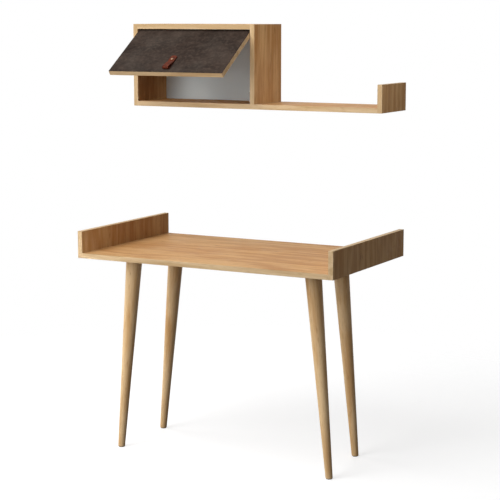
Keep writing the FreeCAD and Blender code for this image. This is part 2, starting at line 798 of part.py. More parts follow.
def fit_joints(prefix, joints, front, depth, dowel_shares, cam_shares):
    """Put the dowels, cam bolts and cams of a set of joints in place."""
    dowels, bolts, cams = [], [], []
    for plane, way, floor in joints:
        level = floor + half_board
        into_rail = (Y_AXIS, QUARTER_TURN * way)
        facing_bolt = (Z_AXIS, HALF_TURN) if way < 0 else None
        for y in along(depth, dowel_shares):
            dowels.append(((plane - s.dowel_sunk * way, front + y, level), into_rail))
        for y in along(depth, cam_shares):
            bolts.append(((plane - s.cam_bolt_sunk * way, front + y, level), into_rail))
            cams.append(((plane + s.cam_setback * way, front + y, floor), facing_bolt))
    copies(f"{prefix}_dowels", dowel, dowels)
    copies(f"{prefix}_cam_bolts", cam_bolt, bolts)
    copies(f"{prefix}_cams", cam, cams)


fit_joints("desk", DESK_JOINTS, desk_front, s.desk_depth, DESK_DOWEL_SHARES, DESK_CAM_SHARES)
fit_joints("wall_unit", WALL_JOINTS, wall_front, s.shelf_depth, WALL_DOWEL_SHARES, WALL_CAM_SHARES)

# Keyhole hangers in the back edges: name, board, left face and floor level of the board, height
cabinet_hanger = cabinet_roof - s.hanger_drop
HANGERS = (
    ("left_hanger_plate", cabinet_left, wall_left, s.shelf_underside, cabinet_hanger),
    ("middle_hanger_plate", partition, partition_left, shelf_top, cabinet_hanger),
    (
        "right_hanger_plate",
        upright,
        wall_right - s.board,
        s.shelf_underside,
        s.shelf_underside + s.upright_height / 2,
    ),
)
hanger_depth = s.hanger_recess
hanger_face = back_plane - hanger_depth + s.hanger_thick
slot_half = (s.hanger_length - s.hanger_width) / 2
room_half = (s.hanger_room_length - s.hanger_room_width) / 2
keyhole_half = s.hanger_rise / 2
hanger_screw = screw(
    "hanger_screw",
    s.hanger_head_width,
    s.hanger_head_height,
    s.hanger_screw_width,
    s.hanger_screw_length,
)
hanger_screw_spots = []
for name, panel, left, floor, height in HANGERS:
    middle = height - floor
    screw_rows = [(half_board, middle + s.hanger_screw_reach * way) for way in (-1, 1)]
    panel.rout(
        "back",
        (half_board, middle - slot_half),
        (half_board, middle + slot_half),
        s.hanger_width + s.slack * 2,
        hanger_depth,
    )
    panel.rout(
        "back",
        (half_board, middle - room_half),
        (half_board, middle + room_half),
        s.hanger_room_width,
        hanger_depth + s.hanger_room_depth,
    )
    panel.drill("back", screw_rows, hanger_screw_hole, hanger_depth + s.hanger_screw_length)
    plate = keep(doc.addObject("PartDesign::Body", name), name)
    outline = sketch_on(plate, "XZ_Plane")
    draw_slot(outline, (0, -slot_half), (0, slot_half), s.hanger_width)
    add_pad(plate, outline, s.hanger_thick)
    entry = sketch_on(plate, "XZ_Plane")
    draw_circles(entry, ((0, -keyhole_half),), s.hanger_entry)
    add_pocket(plate, entry, s.hanger_thick, True)
    neck = sketch_on(plate, "XZ_Plane")
    draw_slot(neck, (0, -keyhole_half), (0, keyhole_half), s.hanger_neck)
    add_pocket(plate, neck, s.hanger_thick, True)
    screw_holes = sketch_on(plate, "XZ_Plane")
    draw_circles(
        screw_holes, [(0, s.hanger_screw_reach * way) for way in (-1, 1)], hanger_screw_hole
    )
    add_pocket(plate, screw_holes, s.hanger_thick, True)
    place(plate, (left + half_board, hanger_face, height))
    for across, up in screw_rows:
        spot = (left + half_board, hanger_face, floor + up)
        hanger_screw_spots.append((spot, (X_AXIS, QUARTER_TURN)))
copies("hanger_screws", hanger_screw, hanger_screw_spots)

# Pivots of the flap: friction sleeves in the cabinet, pins in the flap
pivot_y = wall_front + s.flap_thick / 2
pivot_z = cabinet_roof - s.board - s.flap_top_gap - s.pivot_drop
pivot_spot = s.flap_thick / 2
sleeve_depth = s.sleeve_length + s.slack
cabinet_left.drill("right", ((pivot_spot, pivot_z - s.shelf_underside),), sleeve_hole, sleeve_depth)
partition.drill("left", ((pivot_spot, pivot_z - shelf_top),), sleeve_hole, sleeve_depth)
sleeve_bore = s.pivot_pin_width / 2 + s.pivot_clearance
pin_radius = s.pivot_pin_width / 2
pin_length = s.pivot_pin_sunk + s.flap_side_gap + s.pivot_pin_reach
for name, plane, way in (("left", wall_left + s.board, 1), ("right", partition_left, -1)):
    sleeve = turned(
        f"{name}_pivot_sleeve",
        (
            (sleeve_bore, 0),
            (s.sleeve_width / 2, 0),
            (s.sleeve_width / 2, s.sleeve_length),
            (sleeve_bore, s.sleeve_length),
        ),
    )
    place(sleeve, (plane - s.sleeve_length * way, pivot_y, pivot_z), (Y_AXIS, QUARTER_TURN * way))
    keep(sleeve, f"{name}_pivot_sleeve")
    pin = turned(
        f"{name}_pivot_pin",
        (
            (0, 0),
            (pin_radius - s.pivot_pin_bevel, 0),
            (pin_radius, s.pivot_pin_bevel),
            (pin_radius, pin_length - s.pivot_pin_bevel),
            (pin_radius - s.pivot_pin_bevel, pin_length),
            (0, pin_length),
        ),
    )
    place(pin, (plane - s.pivot_pin_reach * way, pivot_y, pivot_z), (Y_AXIS, QUARTER_TURN * way))
    keep(pin, f"{name}_pivot_pin")

# Flap: its own frame starts at the upper left corner of the laminate and runs across, down and back
flap_width = inner_width - s.flap_side_gap * 2
flap_height = inner_height - s.flap_top_gap - s.flap_foot_gap
flap_left = wall_left + s.board + s.flap_side_gap
facing_in = (X_AXIS, -(s.flap_open + QUARTER_TURN))
facing_out = (X_AXIS, QUARTER_TURN - s.flap_open)


def on_flap(across, down, back):
    """A spot of the open flap, from its corner, in the frame of the whole."""
    below, behind = down - s.pivot_drop, back - s.flap_thick / 2
    return (
        flap_left + across,
        pivot_y - below * sine(s.flap_open) + behind * cosine(s.flap_open),
        pivot_z - below * cosine(s.flap_open) - behind * sine(s.flap_open),
    )


laminate_size = (flap_width, flap_height, s.laminate)
laminate = Board("flap_front_laminate", laminate_size, on_flap(0, 0, 0), turn=facing_in)
panel_size = (flap_width, flap_height, s.flap_thick - s.laminate)
flap = Board("flap_panel", panel_size, on_flap(0, 0, s.laminate), turn=facing_in)
pin_spot = ((s.pivot_drop, s.flap_thick / 2 - s.laminate),)
for end in ("left", "right"):
    flap.drill(end, pin_spot, pivot_pin_hole, s.pivot_pin_sunk + s.slack)

# Leather pull: one strap folded into a loop, its ends stacked under a screw
pull_top = flap_height - s.pull_foot - s.pull_length
pull_screw_at = (flap_width / 2, pull_top + s.pull_screw_drop)
laminate.drill("bottom", (pull_screw_at,), pull_screw_hole, s.laminate)
pull_stack = s.pull_thick * 2
pull_screw_hold = s.pull_screw_length - pull_stack - s.laminate
flap.drill("bottom", (pull_screw_at,), pull_screw_hole, pull_screw_hold + s.slack)


def draw_drop(sketch, radius, corners):
    """Draw a drop: a round end about the loop's middle, closed by straight lines through corners."""
    middle = s.pull_loop / 2
    run, rise = corners[-1][0] - middle, corners[-1][1] - middle
    reach = math.hypot(run.value, rise.value)
    touch = math.atan2(rise.value, run.value) + math.acos(radius.value / reach)
    circle = Part.Circle(flat((middle, middle)), Z_AXIS, radius.value)
    arc = Part.ArcOfCircle(circle, touch, 3 * math.pi / 2)
    stops = [arc.EndPoint] + [flat(spot) for spot in corners] + [arc.StartPoint]
    lines = [Part.LineSegment(a, b) for a, b in zip(stops, stops[1:])]
    curves = sketch.addGeometry([arc] + lines, False)
    pin_down(sketch, curves[0], CENTRE, (middle, middle))
    dimension(sketch, "Radius", (curves[0],), radius)
    sketch.addConstraint(Sketcher.Constraint("Tangent", curves[0], END, curves[1], START))
    for here, then, spot in zip(curves[1:], curves[2:], corners):
        sketch.addConstraint(Sketcher.Constraint("Coincident", here, END, then, START))
        pin_down(sketch, then, START, spot)
    sketch.addConstraint(Sketcher.Constraint("Tangent", curves[-1], END, curves[0], START))


pull = keep(doc.addObject("PartDesign::Body", "leather_pull"), "leather_pull")
crease = s.pull_length - s.pull_crease
loop_radius = s.pull_loop / 2
profile = sketch_on(pull, "YZ_Plane")
square_end = ((s.pull_length, 0), (s.pull_length, pull_stack), (crease, pull_stack))
draw_drop(profile, loop_radius, square_end)
draw_drop(profile, loop_radius - s.pull_thick, ((crease, s.pull_thick),))
add_pad(pull, profile, s.pull_width)
round_edges(pull, s.pull_corner, runs_along(Z_AXIS))
pull_hole = sketch_on(pull, "XY_Plane")
draw_circles(pull_hole, ((s.pull_width / 2, s.pull_length - s.pull_screw_drop),), pull_screw_hole)
add_pocket(pull, pull_hole, pull_stack, True)
pull_left = (flap_width - s.pull_width) / 2
place(pull, on_flap(pull_left, pull_top + s.pull_length, 0), facing_out)
pull_screw = screw(
    "pull_screw", s.pull_head_width, s.pull_head_height, s.pull_screw_width, s.pull_screw_length
)
place(pull_screw, on_flap(*pull_screw_at, -pull_stack), facing_in)
keep(pull_screw, "pull_screw")

# Magnetic catch on the partition and its strike plate on the flap
closed_back = wall_front + s.flap_thick
catch_front = closed_back + s.strike_thick + s.catch_gap
catch_floor = shelf_top + s.catch_lift
catch = Board(
    "catch_housing",
    (s.catch_width, s.catch_depth, s.catch_height),
    (partition_left - s.catch_width, catch_front, catch_floor),
    eased=(X_AXIS, Y_AXIS),
)
magnet_left = (s.catch_width - s.magnet_width) / 2
magnet_floor = (s.catch_height - s.magnet_height) / 2
magnet_size = (s.magnet_width, s.magnet_depth, s.magnet_height)
catch.groove(
    "front",
    (magnet_left - s.slack, magnet_floor - s.slack),
    (magnet_left + s.magnet_width + s.slack, magnet_floor + s.magnet_height + s.slack),
    s.magnet_depth,
)
Board(
    "catch_magnet",
    magnet_size,
    (partition_left - s.catch_width + magnet_left, catch_front, catch_floor + magnet_floor),
)
catch_rows = [s.catch_height / 2 + s.catch_screw_spread / 2 * way for way in (-1, 1)]
catch.drill("left", [(s.catch_screw_back, z) for z in catch_rows], catch_screw_hole, s.catch_width)
catch_screw_y = catch_front + s.catch_screw_back
partition.drill(
    "left",
    [(catch_screw_y - wall_front, catch_floor + z - shelf_top) for z in catch_rows],
    catch_screw_hole,
    s.catch_screw_length - s.catch_width + s.slack,
)
catch_screw = screw(
    "catch_screw", s.catch_head_width, s.catch_head_height, s.catch_screw_width, s.catch_screw_length
)
catch_seat = partition_left - s.catch_width
copies(
    "catch_screws",
    catch_screw,
    [((catch_seat, catch_screw_y, catch_floor + z), (Y_AXIS, QUARTER_TURN)) for z in catch_rows],
)
strike_length = s.catch_height + s.strike_tail
strike_right = flap_width + s.flap_side_gap - magnet_left
strike_left = strike_right - s.strike_width
strike_foot = flap_height + s.flap_foot_gap - s.catch_lift
strike_top = strike_foot - strike_length
strike = Board(
    "strike_plate",
    (s.strike_width, strike_length, s.strike_thick),
    on_flap(strike_left, strike_top, s.flap_thick),
    turn=facing_in,
)
strike_screw_down = s.strike_tail / 2
strike.drill("top", ((s.strike_width / 2, strike_screw_down),), catch_screw_hole, s.strike_thick)
strike_screw_at = (strike_left + s.strike_width / 2, strike_top + strike_screw_down)
strike_hold = s.strike_screw_length - s.strike_thick
flap.drill("top", (strike_screw_at,), catch_screw_hole, strike_hold + s.slack)
strike_screw = screw(
    "strike_screw", s.catch_head_width, s.catch_head_height, s.catch_screw_width, s.strike_screw_length
)
place(strike_screw, on_flap(*strike_screw_at, s.flap_thick + s.strike_thick), facing_out)
keep(strike_screw, "strike_screw")

# Every object has to be sound before anything is written
doc.recompute()
broken = [thing.Label for thing in doc.Objects if {"Invalid", "Error"} & set(thing.State)]
broken += [node.Label for node in nodes if node.Shape.isNull() or not node.Shape.isValid()]
if broken:
    raise RuntimeError(f"failed objects: {broken}")
os.makedirs("parts", exist_ok=True)
for node in nodes:
    node.Shape.exportStep(f"parts/{node.Label}.step")
print(len(nodes), "sub-parts written")
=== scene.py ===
"""Looks of the study desk and its wall unit: finishes, fine pieces, studio and camera, in metres."""

import json
import logging
import math
from dataclasses import astuple, dataclass, replace
from enum import Enum
from functools import cache
from typing import ClassVar, Iterable, Iterator

import bmesh
import bpy
from mathutils import Euler, Matrix, Vector


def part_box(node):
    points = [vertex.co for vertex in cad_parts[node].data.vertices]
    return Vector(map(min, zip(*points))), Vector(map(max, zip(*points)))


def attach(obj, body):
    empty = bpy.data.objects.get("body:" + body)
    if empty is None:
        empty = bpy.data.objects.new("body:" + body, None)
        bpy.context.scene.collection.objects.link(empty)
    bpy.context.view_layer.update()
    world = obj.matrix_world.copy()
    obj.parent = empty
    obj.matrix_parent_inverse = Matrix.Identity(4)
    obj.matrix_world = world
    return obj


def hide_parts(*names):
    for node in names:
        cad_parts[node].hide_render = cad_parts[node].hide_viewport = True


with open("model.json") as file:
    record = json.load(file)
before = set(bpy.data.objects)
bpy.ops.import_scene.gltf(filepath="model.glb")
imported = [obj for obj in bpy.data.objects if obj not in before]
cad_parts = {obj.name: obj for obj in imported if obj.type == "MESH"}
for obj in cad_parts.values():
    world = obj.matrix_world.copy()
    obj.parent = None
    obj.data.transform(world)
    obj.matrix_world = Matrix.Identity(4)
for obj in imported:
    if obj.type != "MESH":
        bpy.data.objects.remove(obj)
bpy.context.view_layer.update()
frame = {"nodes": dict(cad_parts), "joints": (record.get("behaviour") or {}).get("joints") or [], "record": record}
log = logging.getLogger("study_desk")

MM = 0.001
SHARP = math.radians(40)  # edges that bend more stay sharp in the shading
MERGE = 0.001 * MM  # points nearer to each other are one
BURNISH = "burnish"  # the attribute that marks the rim of the leather
STRETCH_STEP = Vector((0.83, 0.31, 0.17))  # from one cut of wood to the next
STILL = Matrix.Identity(4)

HINGE = frame["joints"][0]
PIVOT = Vector(HINGE["pos_m"])
CLOSING = Matrix.Rotation(math.radians(HINGE["range_deg"][0]), 4, Vector(HINGE["axis"]))
CLOSED = Matrix.Translation(PIVOT) @ CLOSING @ Matrix.Translation(-PIVOT)
OPENED = CLOSED.inverted()

Colour = tuple[float, float, float, float]
Socket = bpy.types.NodeSocket
Material = bpy.types.Material
BMesh = bmesh.types.BMesh


class Axis(Enum):
    """The three ways that a board can run."""

    WIDTH = (1, 0, 0)
    DEPTH = (0, 1, 0)
    HEIGHT = (0, 0, 1)

    @property
    def way(self) -> Vector:
        """This axis as a vector."""
        return Vector(self.value)


class Body(Enum):
    """The two bodies that pieces ride on."""

    DESK_AND_WALL_UNIT = "desk_and_wall_unit"
    FLAP = "flap"


class Slot(Enum):
    """The material slots of the record."""

    OAK_BOARD = "oak_board"
    OAK_LEG = "oak_leg"
    WHITE_BACK = "white_back"
    DARK_LAMINATE = "dark_laminate"
    BLACK_STEEL = "black_steel"
    ZINC_STEEL = "zinc_steel"
    CAST_ZINC = "cast_zinc"
    BEECH_DOWEL = "beech_dowel"
    FELT_PAD = "felt_pad"
    TAN_LEATHER = "tan_leather"
    PULL_RIVET = "pull_rivet"
    GREY_PLASTIC = "grey_plastic"
    MAGNET_BLOCK = "magnet_block"


class SocketKind(Enum):
    """What a socket of a node group carries."""

    VECTOR = "NodeSocketVector"
    COLOUR = "NodeSocketColor"
    VALUE = "NodeSocketFloat"


def linear(level: float) -> float:
    """A screen level of 0 to 1 as light."""
    return level / 12.92 if level <= 0.04045 else ((level + 0.055) / 1.055) ** 2.4


def colour(red: int, green: int, blue: int) -> Colour:
    """A screen colour of 0 to 255 as the linear colour that a shader takes."""
    return (linear(red / 255), linear(green / 255), linear(blue / 255), 1.0)


def grey(level: float) -> Colour:
    """The linear grey of a level of light."""
    return (level, level, level, 1.0)


DUST = colour(206, 196, 182)
RUBBED = colour(226, 202, 166)


@dataclass(frozen=True)
class Rise:
    """A smooth rise: where it starts and stops, and the result before and after it."""

    start: float
    stop: float
    low: float = 0.0
    high: float = 1.0


class Graph:
    """A node tree that nodes are added to, with each input given as a value or as a socket."""

    def __init__(self, tree: bpy.types.NodeTree) -> None:
        """Take the tree that the nodes go into."""
        self.tree = tree

    def add(self, kind: str, inputs: dict | None = None, **settings: object) -> bpy.types.Node:
        """Add a node.

        Args:
            kind: The node's type, without its prefix.
            inputs: Values or sockets, by the input's name or number.
            settings: The node's own properties.

        Returns:
            The new node.
        """
        node = self.tree.nodes.new(f"ShaderNode{kind}")
        for name, value in settings.items():
            setattr(node, name, value)
        self.feed(node, inputs or {})
        return node

    def feed(self, node: bpy.types.Node, inputs: dict) -> None:
        """Give a node its inputs.

        Args:
            node: The node.
            inputs: Values or sockets, by the input's name or number.
        """
        for key, value in inputs.items():
            if isinstance(value, Socket):
                self.tree.links.new(value, node.inputs[key])
            else:
                node.inputs[key].default_value = value

    def math(self, operation: str, *values: float | Socket) -> Socket:
        """One step of arithmetic on numbers."""
        return self.add("Math", dict(enumerate(values)), operation=operation).outputs[0]

    def plus(self, base: float | Socket, share: float, value: Socket) -> Socket:
        """A number plus a share of another one."""
        return self.math("MULTIPLY_ADD", value, share, base)

    def vector(self, operation: str, *values: Vector | Socket) -> Socket:
        """One step of arithmetic on vectors."""
        return self.add("VectorMath", dict(enumerate(values)), operation=operation).outputs[0]

    def parts(self, operation: str, vector: Socket) -> Socket:
        """The three parts of a vector, joined into a number by one operation."""
        x, y, z = self.add("SeparateXYZ", {0: vector}).outputs
        return self.math(operation, self.math(operation, x, y), z)

    def scaled(self, place: Socket, scale: float | Socket) -> Socket:
        """A place at another scale."""
        return self.add("VectorMath", {0: place, "Scale": scale}, operation="SCALE").outputs[0]

    def turned(self, place: Socket, turn: Euler, shift: Vector | None = None) -> Socket:
        """A place turned about the origin and then shifted."""
        inputs = {"Vector": place, "Rotation": turn, "Location": shift or Vector()}
        return self.add("Mapping", inputs).outputs[0]

    def blend(self, share: float | Socket, low: Colour | Socket, high: Colour | Socket) -> Socket:
        """A mix of two colours, with that share of the second one."""
        return self.add("Mix", {0: share, 6: low, 7: high}, data_type="RGBA").outputs[2]

    def film(self, mask: Socket, share: float, under: Colour | Socket, over: Colour | Socket) -> Socket:
        """A colour over another where a mask is, no denser than a share."""
        return self.blend(self.math("MULTIPLY", mask, share), under, over)

    def ramp(self, value: Socket, rise: Rise) -> Socket:
        """What a rise makes of a value."""
        inputs = dict(enumerate((value, *astuple(rise))))
        return self.add("MapRange", inputs, interpolation_type="SMOOTHSTEP").outputs[0]


@dataclass(frozen=True)
class Pattern:
    """Cloudy noise: its clouds in a metre along X and across, its fineness and twist, and its rise."""

    along: float
    detail: float
    twist: float = 0.0
    rise: Rise = Rise(0.0, 1.0)
    across: float | None = None

    def level(self, graph: Graph, place: Socket) -> Socket:
        """The noise itself.

        Args:
            graph: The nodes that it is added to.
            place: Where it is read.

        Returns:
            A value about one half.
        """
        across = self.across or self.along
        spot = graph.vector("MULTIPLY", place, Vector((self.along, across, across)))
        inputs = {"Vector": spot, "Scale": 1.0, "Detail": self.detail, "Distortion": self.twist}
        return graph.add("TexNoise", inputs).outputs[0]

    def mask(self, graph: Graph, place: Socket) -> Socket:
        """The noise as a mask."""
        return graph.ramp(self.level(graph, place), self.rise)


class EffectGroup:
    """A shared effect, made as a node group when it is first used."""

    name: ClassVar[str]
    taken: ClassVar[dict[str, SocketKind]]
    given: ClassVar[dict[str, SocketKind]]

    @classmethod
    def use(cls, graph: Graph, inputs: dict) -> bpy.types.bpy_prop_collection:
        """Add the effect to a material's nodes and hand out the sockets that it gives."""
        tree = bpy.data.node_groups.get(cls.name) or cls.make()
        return graph.add("Group", inputs, node_tree=tree).outputs

    @classmethod
    def make(cls) -> bpy.types.NodeTree:
        """Make the node group.

        Returns:
            Its tree.
        """
        tree = bpy.data.node_groups.new(cls.name, "ShaderNodeTree")
        for in_out, sockets in (("INPUT", cls.taken), ("OUTPUT", cls.given)):
            for name, kind in sockets.items():
                tree.interface.new_socket(name, in_out=in_out, socket_type=kind.value)
        start = tree.nodes.new("NodeGroupInput")
        stop = tree.nodes.new("NodeGroupOutput")
        graph = Graph(tree)
        graph.feed(stop, cls.draw(graph, {name: start.outputs[name] for name in cls.taken}))
        return tree

    @classmethod
    def draw(cls, graph: Graph, taken: dict[str, Socket]) -> dict[str, Socket]:
        """Add the effect's own nodes and hand out the results by the names of their sockets."""
        raise NotImplementedError


class WoodGrain(EffectGroup):
    """Open-pored wood whose fibres run along X."""

    name = "wood_grain"
    taken = {"Place": SocketKind.VECTOR, **dict.fromkeys(("Light", "Dark", "Pore"), SocketKind.COLOUR)}
    given = {"Colour": SocketKind.COLOUR, "Roughness": SocketKind.VALUE, "Height": SocketKind.VALUE}

    CLOUD = Pattern(2.2, 3, 0.6, Rise(0.3, 0.7, high=0.24), across=7)
    STREAK = Pattern(3.9, 6, 0.4, Rise(0.3, 0.72, high=0.34), across=51)
    FIBRE = Pattern(7.2, 3, across=180)
    PORE = Pattern(26, 2, rise=Rise(0.57, 0.7), across=620)
    PIN_KNOT = Pattern(17, 3, 0.4, Rise(0.63, 0.76, high=0.55), across=85)
    RINGS = {"Scale": 7.0, "Distortion": 9.0, "Detail": 3.0, "Detail Scale": 1.6}
    RING_STRETCH = Vector((0.3, 1, 1))
    FIBRE_SHARE = 0.36
    RING_SHARE = 0.14
    PORE_SHARE = 0.4
    DARKEST = 0.8
    PORE_HEIGHT = -0.8
    TONE = Rise(0.28, 0.78)
    ROUGHNESS = Rise(0.2, 0.8, 0.44, 0.6)

    @classmethod
    def draw(cls, graph: Graph, taken: dict[str, Socket]) -> dict[str, Socket]:
        """Lay growth rings, clouds, streaks, fibres, pin knots and pores over each other.

        Args:
            graph: The group's nodes.
            taken: The place and the wood's three colours.

        Returns:
            Colour, roughness and height of the wood.
        """
        place = taken["Place"]
        flat = graph.vector("MULTIPLY", place, cls.RING_STRETCH)
        inputs = {"Vector": flat, **cls.RINGS}
        rings = graph.add("TexWave", inputs, wave_type="RINGS", rings_direction="X")
        fibre = cls.FIBRE.level(graph, place)
        pore = cls.PORE.mask(graph, place)
        share = graph.plus(cls.CLOUD.mask(graph, place), cls.RING_SHARE, rings.outputs[1])
        share = graph.math("ADD", share, cls.STREAK.mask(graph, place))
        share = graph.plus(share, cls.FIBRE_SHARE, fibre)
        wood = graph.blend(graph.ramp(share, cls.TONE), taken["Light"], taken["Dark"])
        dark = graph.plus(cls.PIN_KNOT.mask(graph, place), cls.PORE_SHARE, pore)
        return {
            "Colour": graph.blend(graph.math("MINIMUM", dark, cls.DARKEST), wood, taken["Pore"]),
            "Roughness": graph.ramp(fibre, cls.ROUGHNESS),
            "Height": graph.plus(fibre, cls.PORE_HEIGHT, pore),
        }


class BoardEdges(EffectGroup):
    """The narrow faces of a board between two corners, and the rub along its edges."""

    name = "board_edges"
    taken = dict.fromkeys(("Place", "Low", "High", "Across"), SocketKind.VECTOR)
    given = {"Band": SocketKind.VALUE, "Wear": SocketKind.VALUE}

    BAND = Rise(0.4 * MM, 0.9 * MM, 1.0, 0.0)
    RUB = Rise(0.0, 2.2 * MM, 1.0, 0.0)
    PATCHES = Pattern(30, 4, rise=Rise(0.42, 0.68))

    @classmethod
    def draw(cls, graph: Graph, taken: dict[str, Socket]) -> dict[str, Socket]:
        """Measure how near a place is to the board's sides.

        Args:
            graph: The group's nodes.
            taken: The place, both corners and the way that the thickness runs.

        Returns:
            Masks of the edge band and of the wear.
        """
        place = taken["Place"]
        below = graph.vector("SUBTRACT", place, taken["Low"])
        above = graph.vector("SUBTRACT", taken["High"], place)
        near = graph.vector("MINIMUM", below, above)
        narrow = graph.parts("MINIMUM", graph.vector("ADD", near, taken["Across"]))
        nearest_two = graph.math("SUBTRACT", graph.parts("ADD", near), graph.parts("MAXIMUM", near))
        rubbed = graph.ramp(nearest_two, cls.RUB)
        return {
            "Band": graph.ramp(narrow, cls.BAND),
            "Wear": graph.math("MULTIPLY", rubbed, cls.PATCHES.mask(graph, place)),
        }


class HandlingMarks(EffectGroup):
    """A thin uneven film of dust and the smudges of hands."""

    name = "handling_marks"
    taken = {"Place": SocketKind.VECTOR}
    given = {"Dust": SocketKind.VALUE, "Smudge": SocketKind.VALUE}

    MARKS = {
        "Dust": Pattern(7, 6, 0.4, Rise(0.35, 0.75)),
        "Smudge": Pattern(19, 3, 1.2, Rise(0.48, 0.72)),
    }

    @classmethod
    def draw(cls, graph: Graph, taken: dict[str, Socket]) -> dict[str, Socket]:
        """Masks of dust and of smudges."""
        return {name: pattern.mask(graph, taken["Place"]) for name, pattern in cls.MARKS.items()}


class FineSpeckle(EffectGroup):
    """Fine flecks, as of cast metal, felt or a pressed sheet."""

    name = "fine_speckle"
    taken = {"Place": SocketKind.VECTOR, "Scale": SocketKind.VALUE}
    given = {"Fleck": SocketKind.VALUE, "Height": SocketKind.VALUE}

    FLECKS = Pattern(1, 4, rise=Rise(0.35, 0.7))

    @classmethod
    def draw(cls, graph: Graph, taken: dict[str, Socket]) -> dict[str, Socket]:
        """A mask of the flecks at a scale, and their height."""
        flecks = cls.FLECKS.level(graph, graph.scaled(taken["Place"], taken["Scale"]))
        return {"Fleck": graph.ramp(flecks, cls.FLECKS.rise), "Height": flecks}


@dataclass(frozen=True)
class Feel:
    """How dense dust gets on a surface, how far hands polish it, its shine and its relief."""

    dust: float
    polish: float
    shine: float
    depth: float
    relief: float


class Surface:
    """A new material with its nodes, its shader and the place that its effects are read at."""

    def __init__(self, name: str) -> None:
        """Start a material.

        Args:
            name: The material's name.
        """
        self.material = bpy.data.materials.new(name)
        self.material.use_nodes = True
        self.graph = Graph(self.material.node_tree)
        self.shader = self.material.node_tree.nodes["Principled BSDF"]
        self.place = self.graph.add("TexCoord").outputs["Object"]

    def feed(self, inputs: dict[str, Socket | float | Colour]) -> None:
        """Feed the shader."""
        self.graph.feed(self.shader, inputs)

    def emboss(self, height: Socket, depth: float, strength: float) -> None:
        """Let a height of that depth in metres turn the shading."""
        inputs = {"Height": height, "Distance": depth, "Strength": strength}
        self.feed({"Normal": self.graph.add("Bump", inputs).outputs[0]})

    def lay(self, feel: Feel, place: Socket, tone: Socket, rough: Socket, height: Socket) -> None:
        """Feed the shader a surface that has stood in a room and been touched.

        Args:
            feel: What that has done to it.
            place: Where the marks are read.
            tone: The clean colour.
            rough: The clean roughness.
            height: The height of its relief.
        """
        marks = HandlingMarks.use(self.graph, {"Place": place})
        self.feed({
            "Base Color": self.graph.film(marks["Dust"], feel.dust, tone, DUST),
            "Roughness": self.graph.plus(rough, -feel.polish, marks["Smudge"]),
            "Specular IOR Level": feel.shine,
        })
        self.emboss(height, feel.depth, feel.relief)


def along_x(way: Vector) -> Euler:
    """The turn that lays a way along X."""
    return way.rotation_difference(Axis.WIDTH.way).to_euler()


@dataclass(frozen=True)
class WoodTone:
    """The three colours of one wood."""

    light: Colour
    dark: Colour
    pore: Colour

    def lifted(self, share: float) -> "WoodTone":
        """The same wood, lighter or darker by a share, which paints light or shade into it."""
        return WoodTone(*(tuple(level * share for level in tone[:3]) + (1.0,) for tone in astuple(self)))

    def grain(self, graph: Graph, place: Socket) -> bpy.types.bpy_prop_collection:
        """The grain of this wood at a place whose X runs along the fibres."""
        inputs = {"Place": place, "Light": self.light, "Dark": self.dark, "Pore": self.pore}
        return WoodGrain.use(graph, inputs)


VENEER = WoodTone(colour(214, 169, 115), colour(187, 135, 82), colour(142, 94, 52))
EDGE_BAND = WoodTone(colour(209, 181, 142), colour(187, 156, 114), colour(164, 130, 90))
TURNED_OAK = WoodTone(colour(238, 204, 156), colour(214, 168, 113), colour(176, 127, 78))


@dataclass(frozen=True)
class BoardFinish:
    """Satin veneer on the faces of a board and a paler band on its narrow faces."""

    face: WoodTone = VENEER
    band: WoodTone = EDGE_BAND
    wear_share: float = 0.35
    feel: Feel = Feel(dust=0.05, polish=0.07, shine=0.04, depth=0.25 * MM, relief=0.35)

    def material(self, board: "Board") -> Material:
        """The finish of one board, with the figure of its own stretch of veneer.

        Args:
            board: The board.

        Returns:
            The material.
        """
        surface = Surface(f"oak_{board.node}")
        graph = surface.graph
        low, high = corners_of(board.node, board.turn)
        stretch = STRETCH_STEP * board.cut
        place = graph.turned(surface.place, board.turn.to_euler())
        face_place = graph.turned(place, along_x(board.grain.way), stretch)
        band_place = graph.turned(place, along_x(board.run.way), stretch)
        # the veneer is darkened by the board's share of painted shade
        face = self.face.lifted(board.lift).grain(graph, face_place)
        band = self.band.grain(graph, band_place)
        inputs = {"Place": place, "Low": low, "High": high, "Across": board.thick.way}
        edges = BoardEdges.use(graph, inputs)
        wood = graph.blend(edges["Band"], face["Colour"], band["Colour"])
        rubbed = graph.film(edges["Wear"], self.wear_share, wood, RUBBED)
        surface.lay(self.feel, place, rubbed, face["Roughness"], face["Height"])
        return surface.material


@dataclass(frozen=True)
class LegFinish:
    """Oiled solid oak, with its grain along the leg."""

    wood: WoodTone = TURNED_OAK
    feel: Feel = Feel(dust=0.05, polish=0.06, shine=0.2, depth=0.25 * MM, relief=0.3)

    def material(self, leg: "Leg") -> Material:
        """The finish of one leg.

        Args:
            leg: The leg.

        Returns:
            The material.
        """
        surface = Surface(f"oak_{leg.node}")
        place = surface.graph.turned(surface.place, along_x(leg.way()), STRETCH_STEP * leg.cut)
        grain = self.wood.grain(surface.graph, place)
        surface.lay(self.feel, surface.place, grain["Colour"], grain["Roughness"], grain["Height"])
        return surface.material


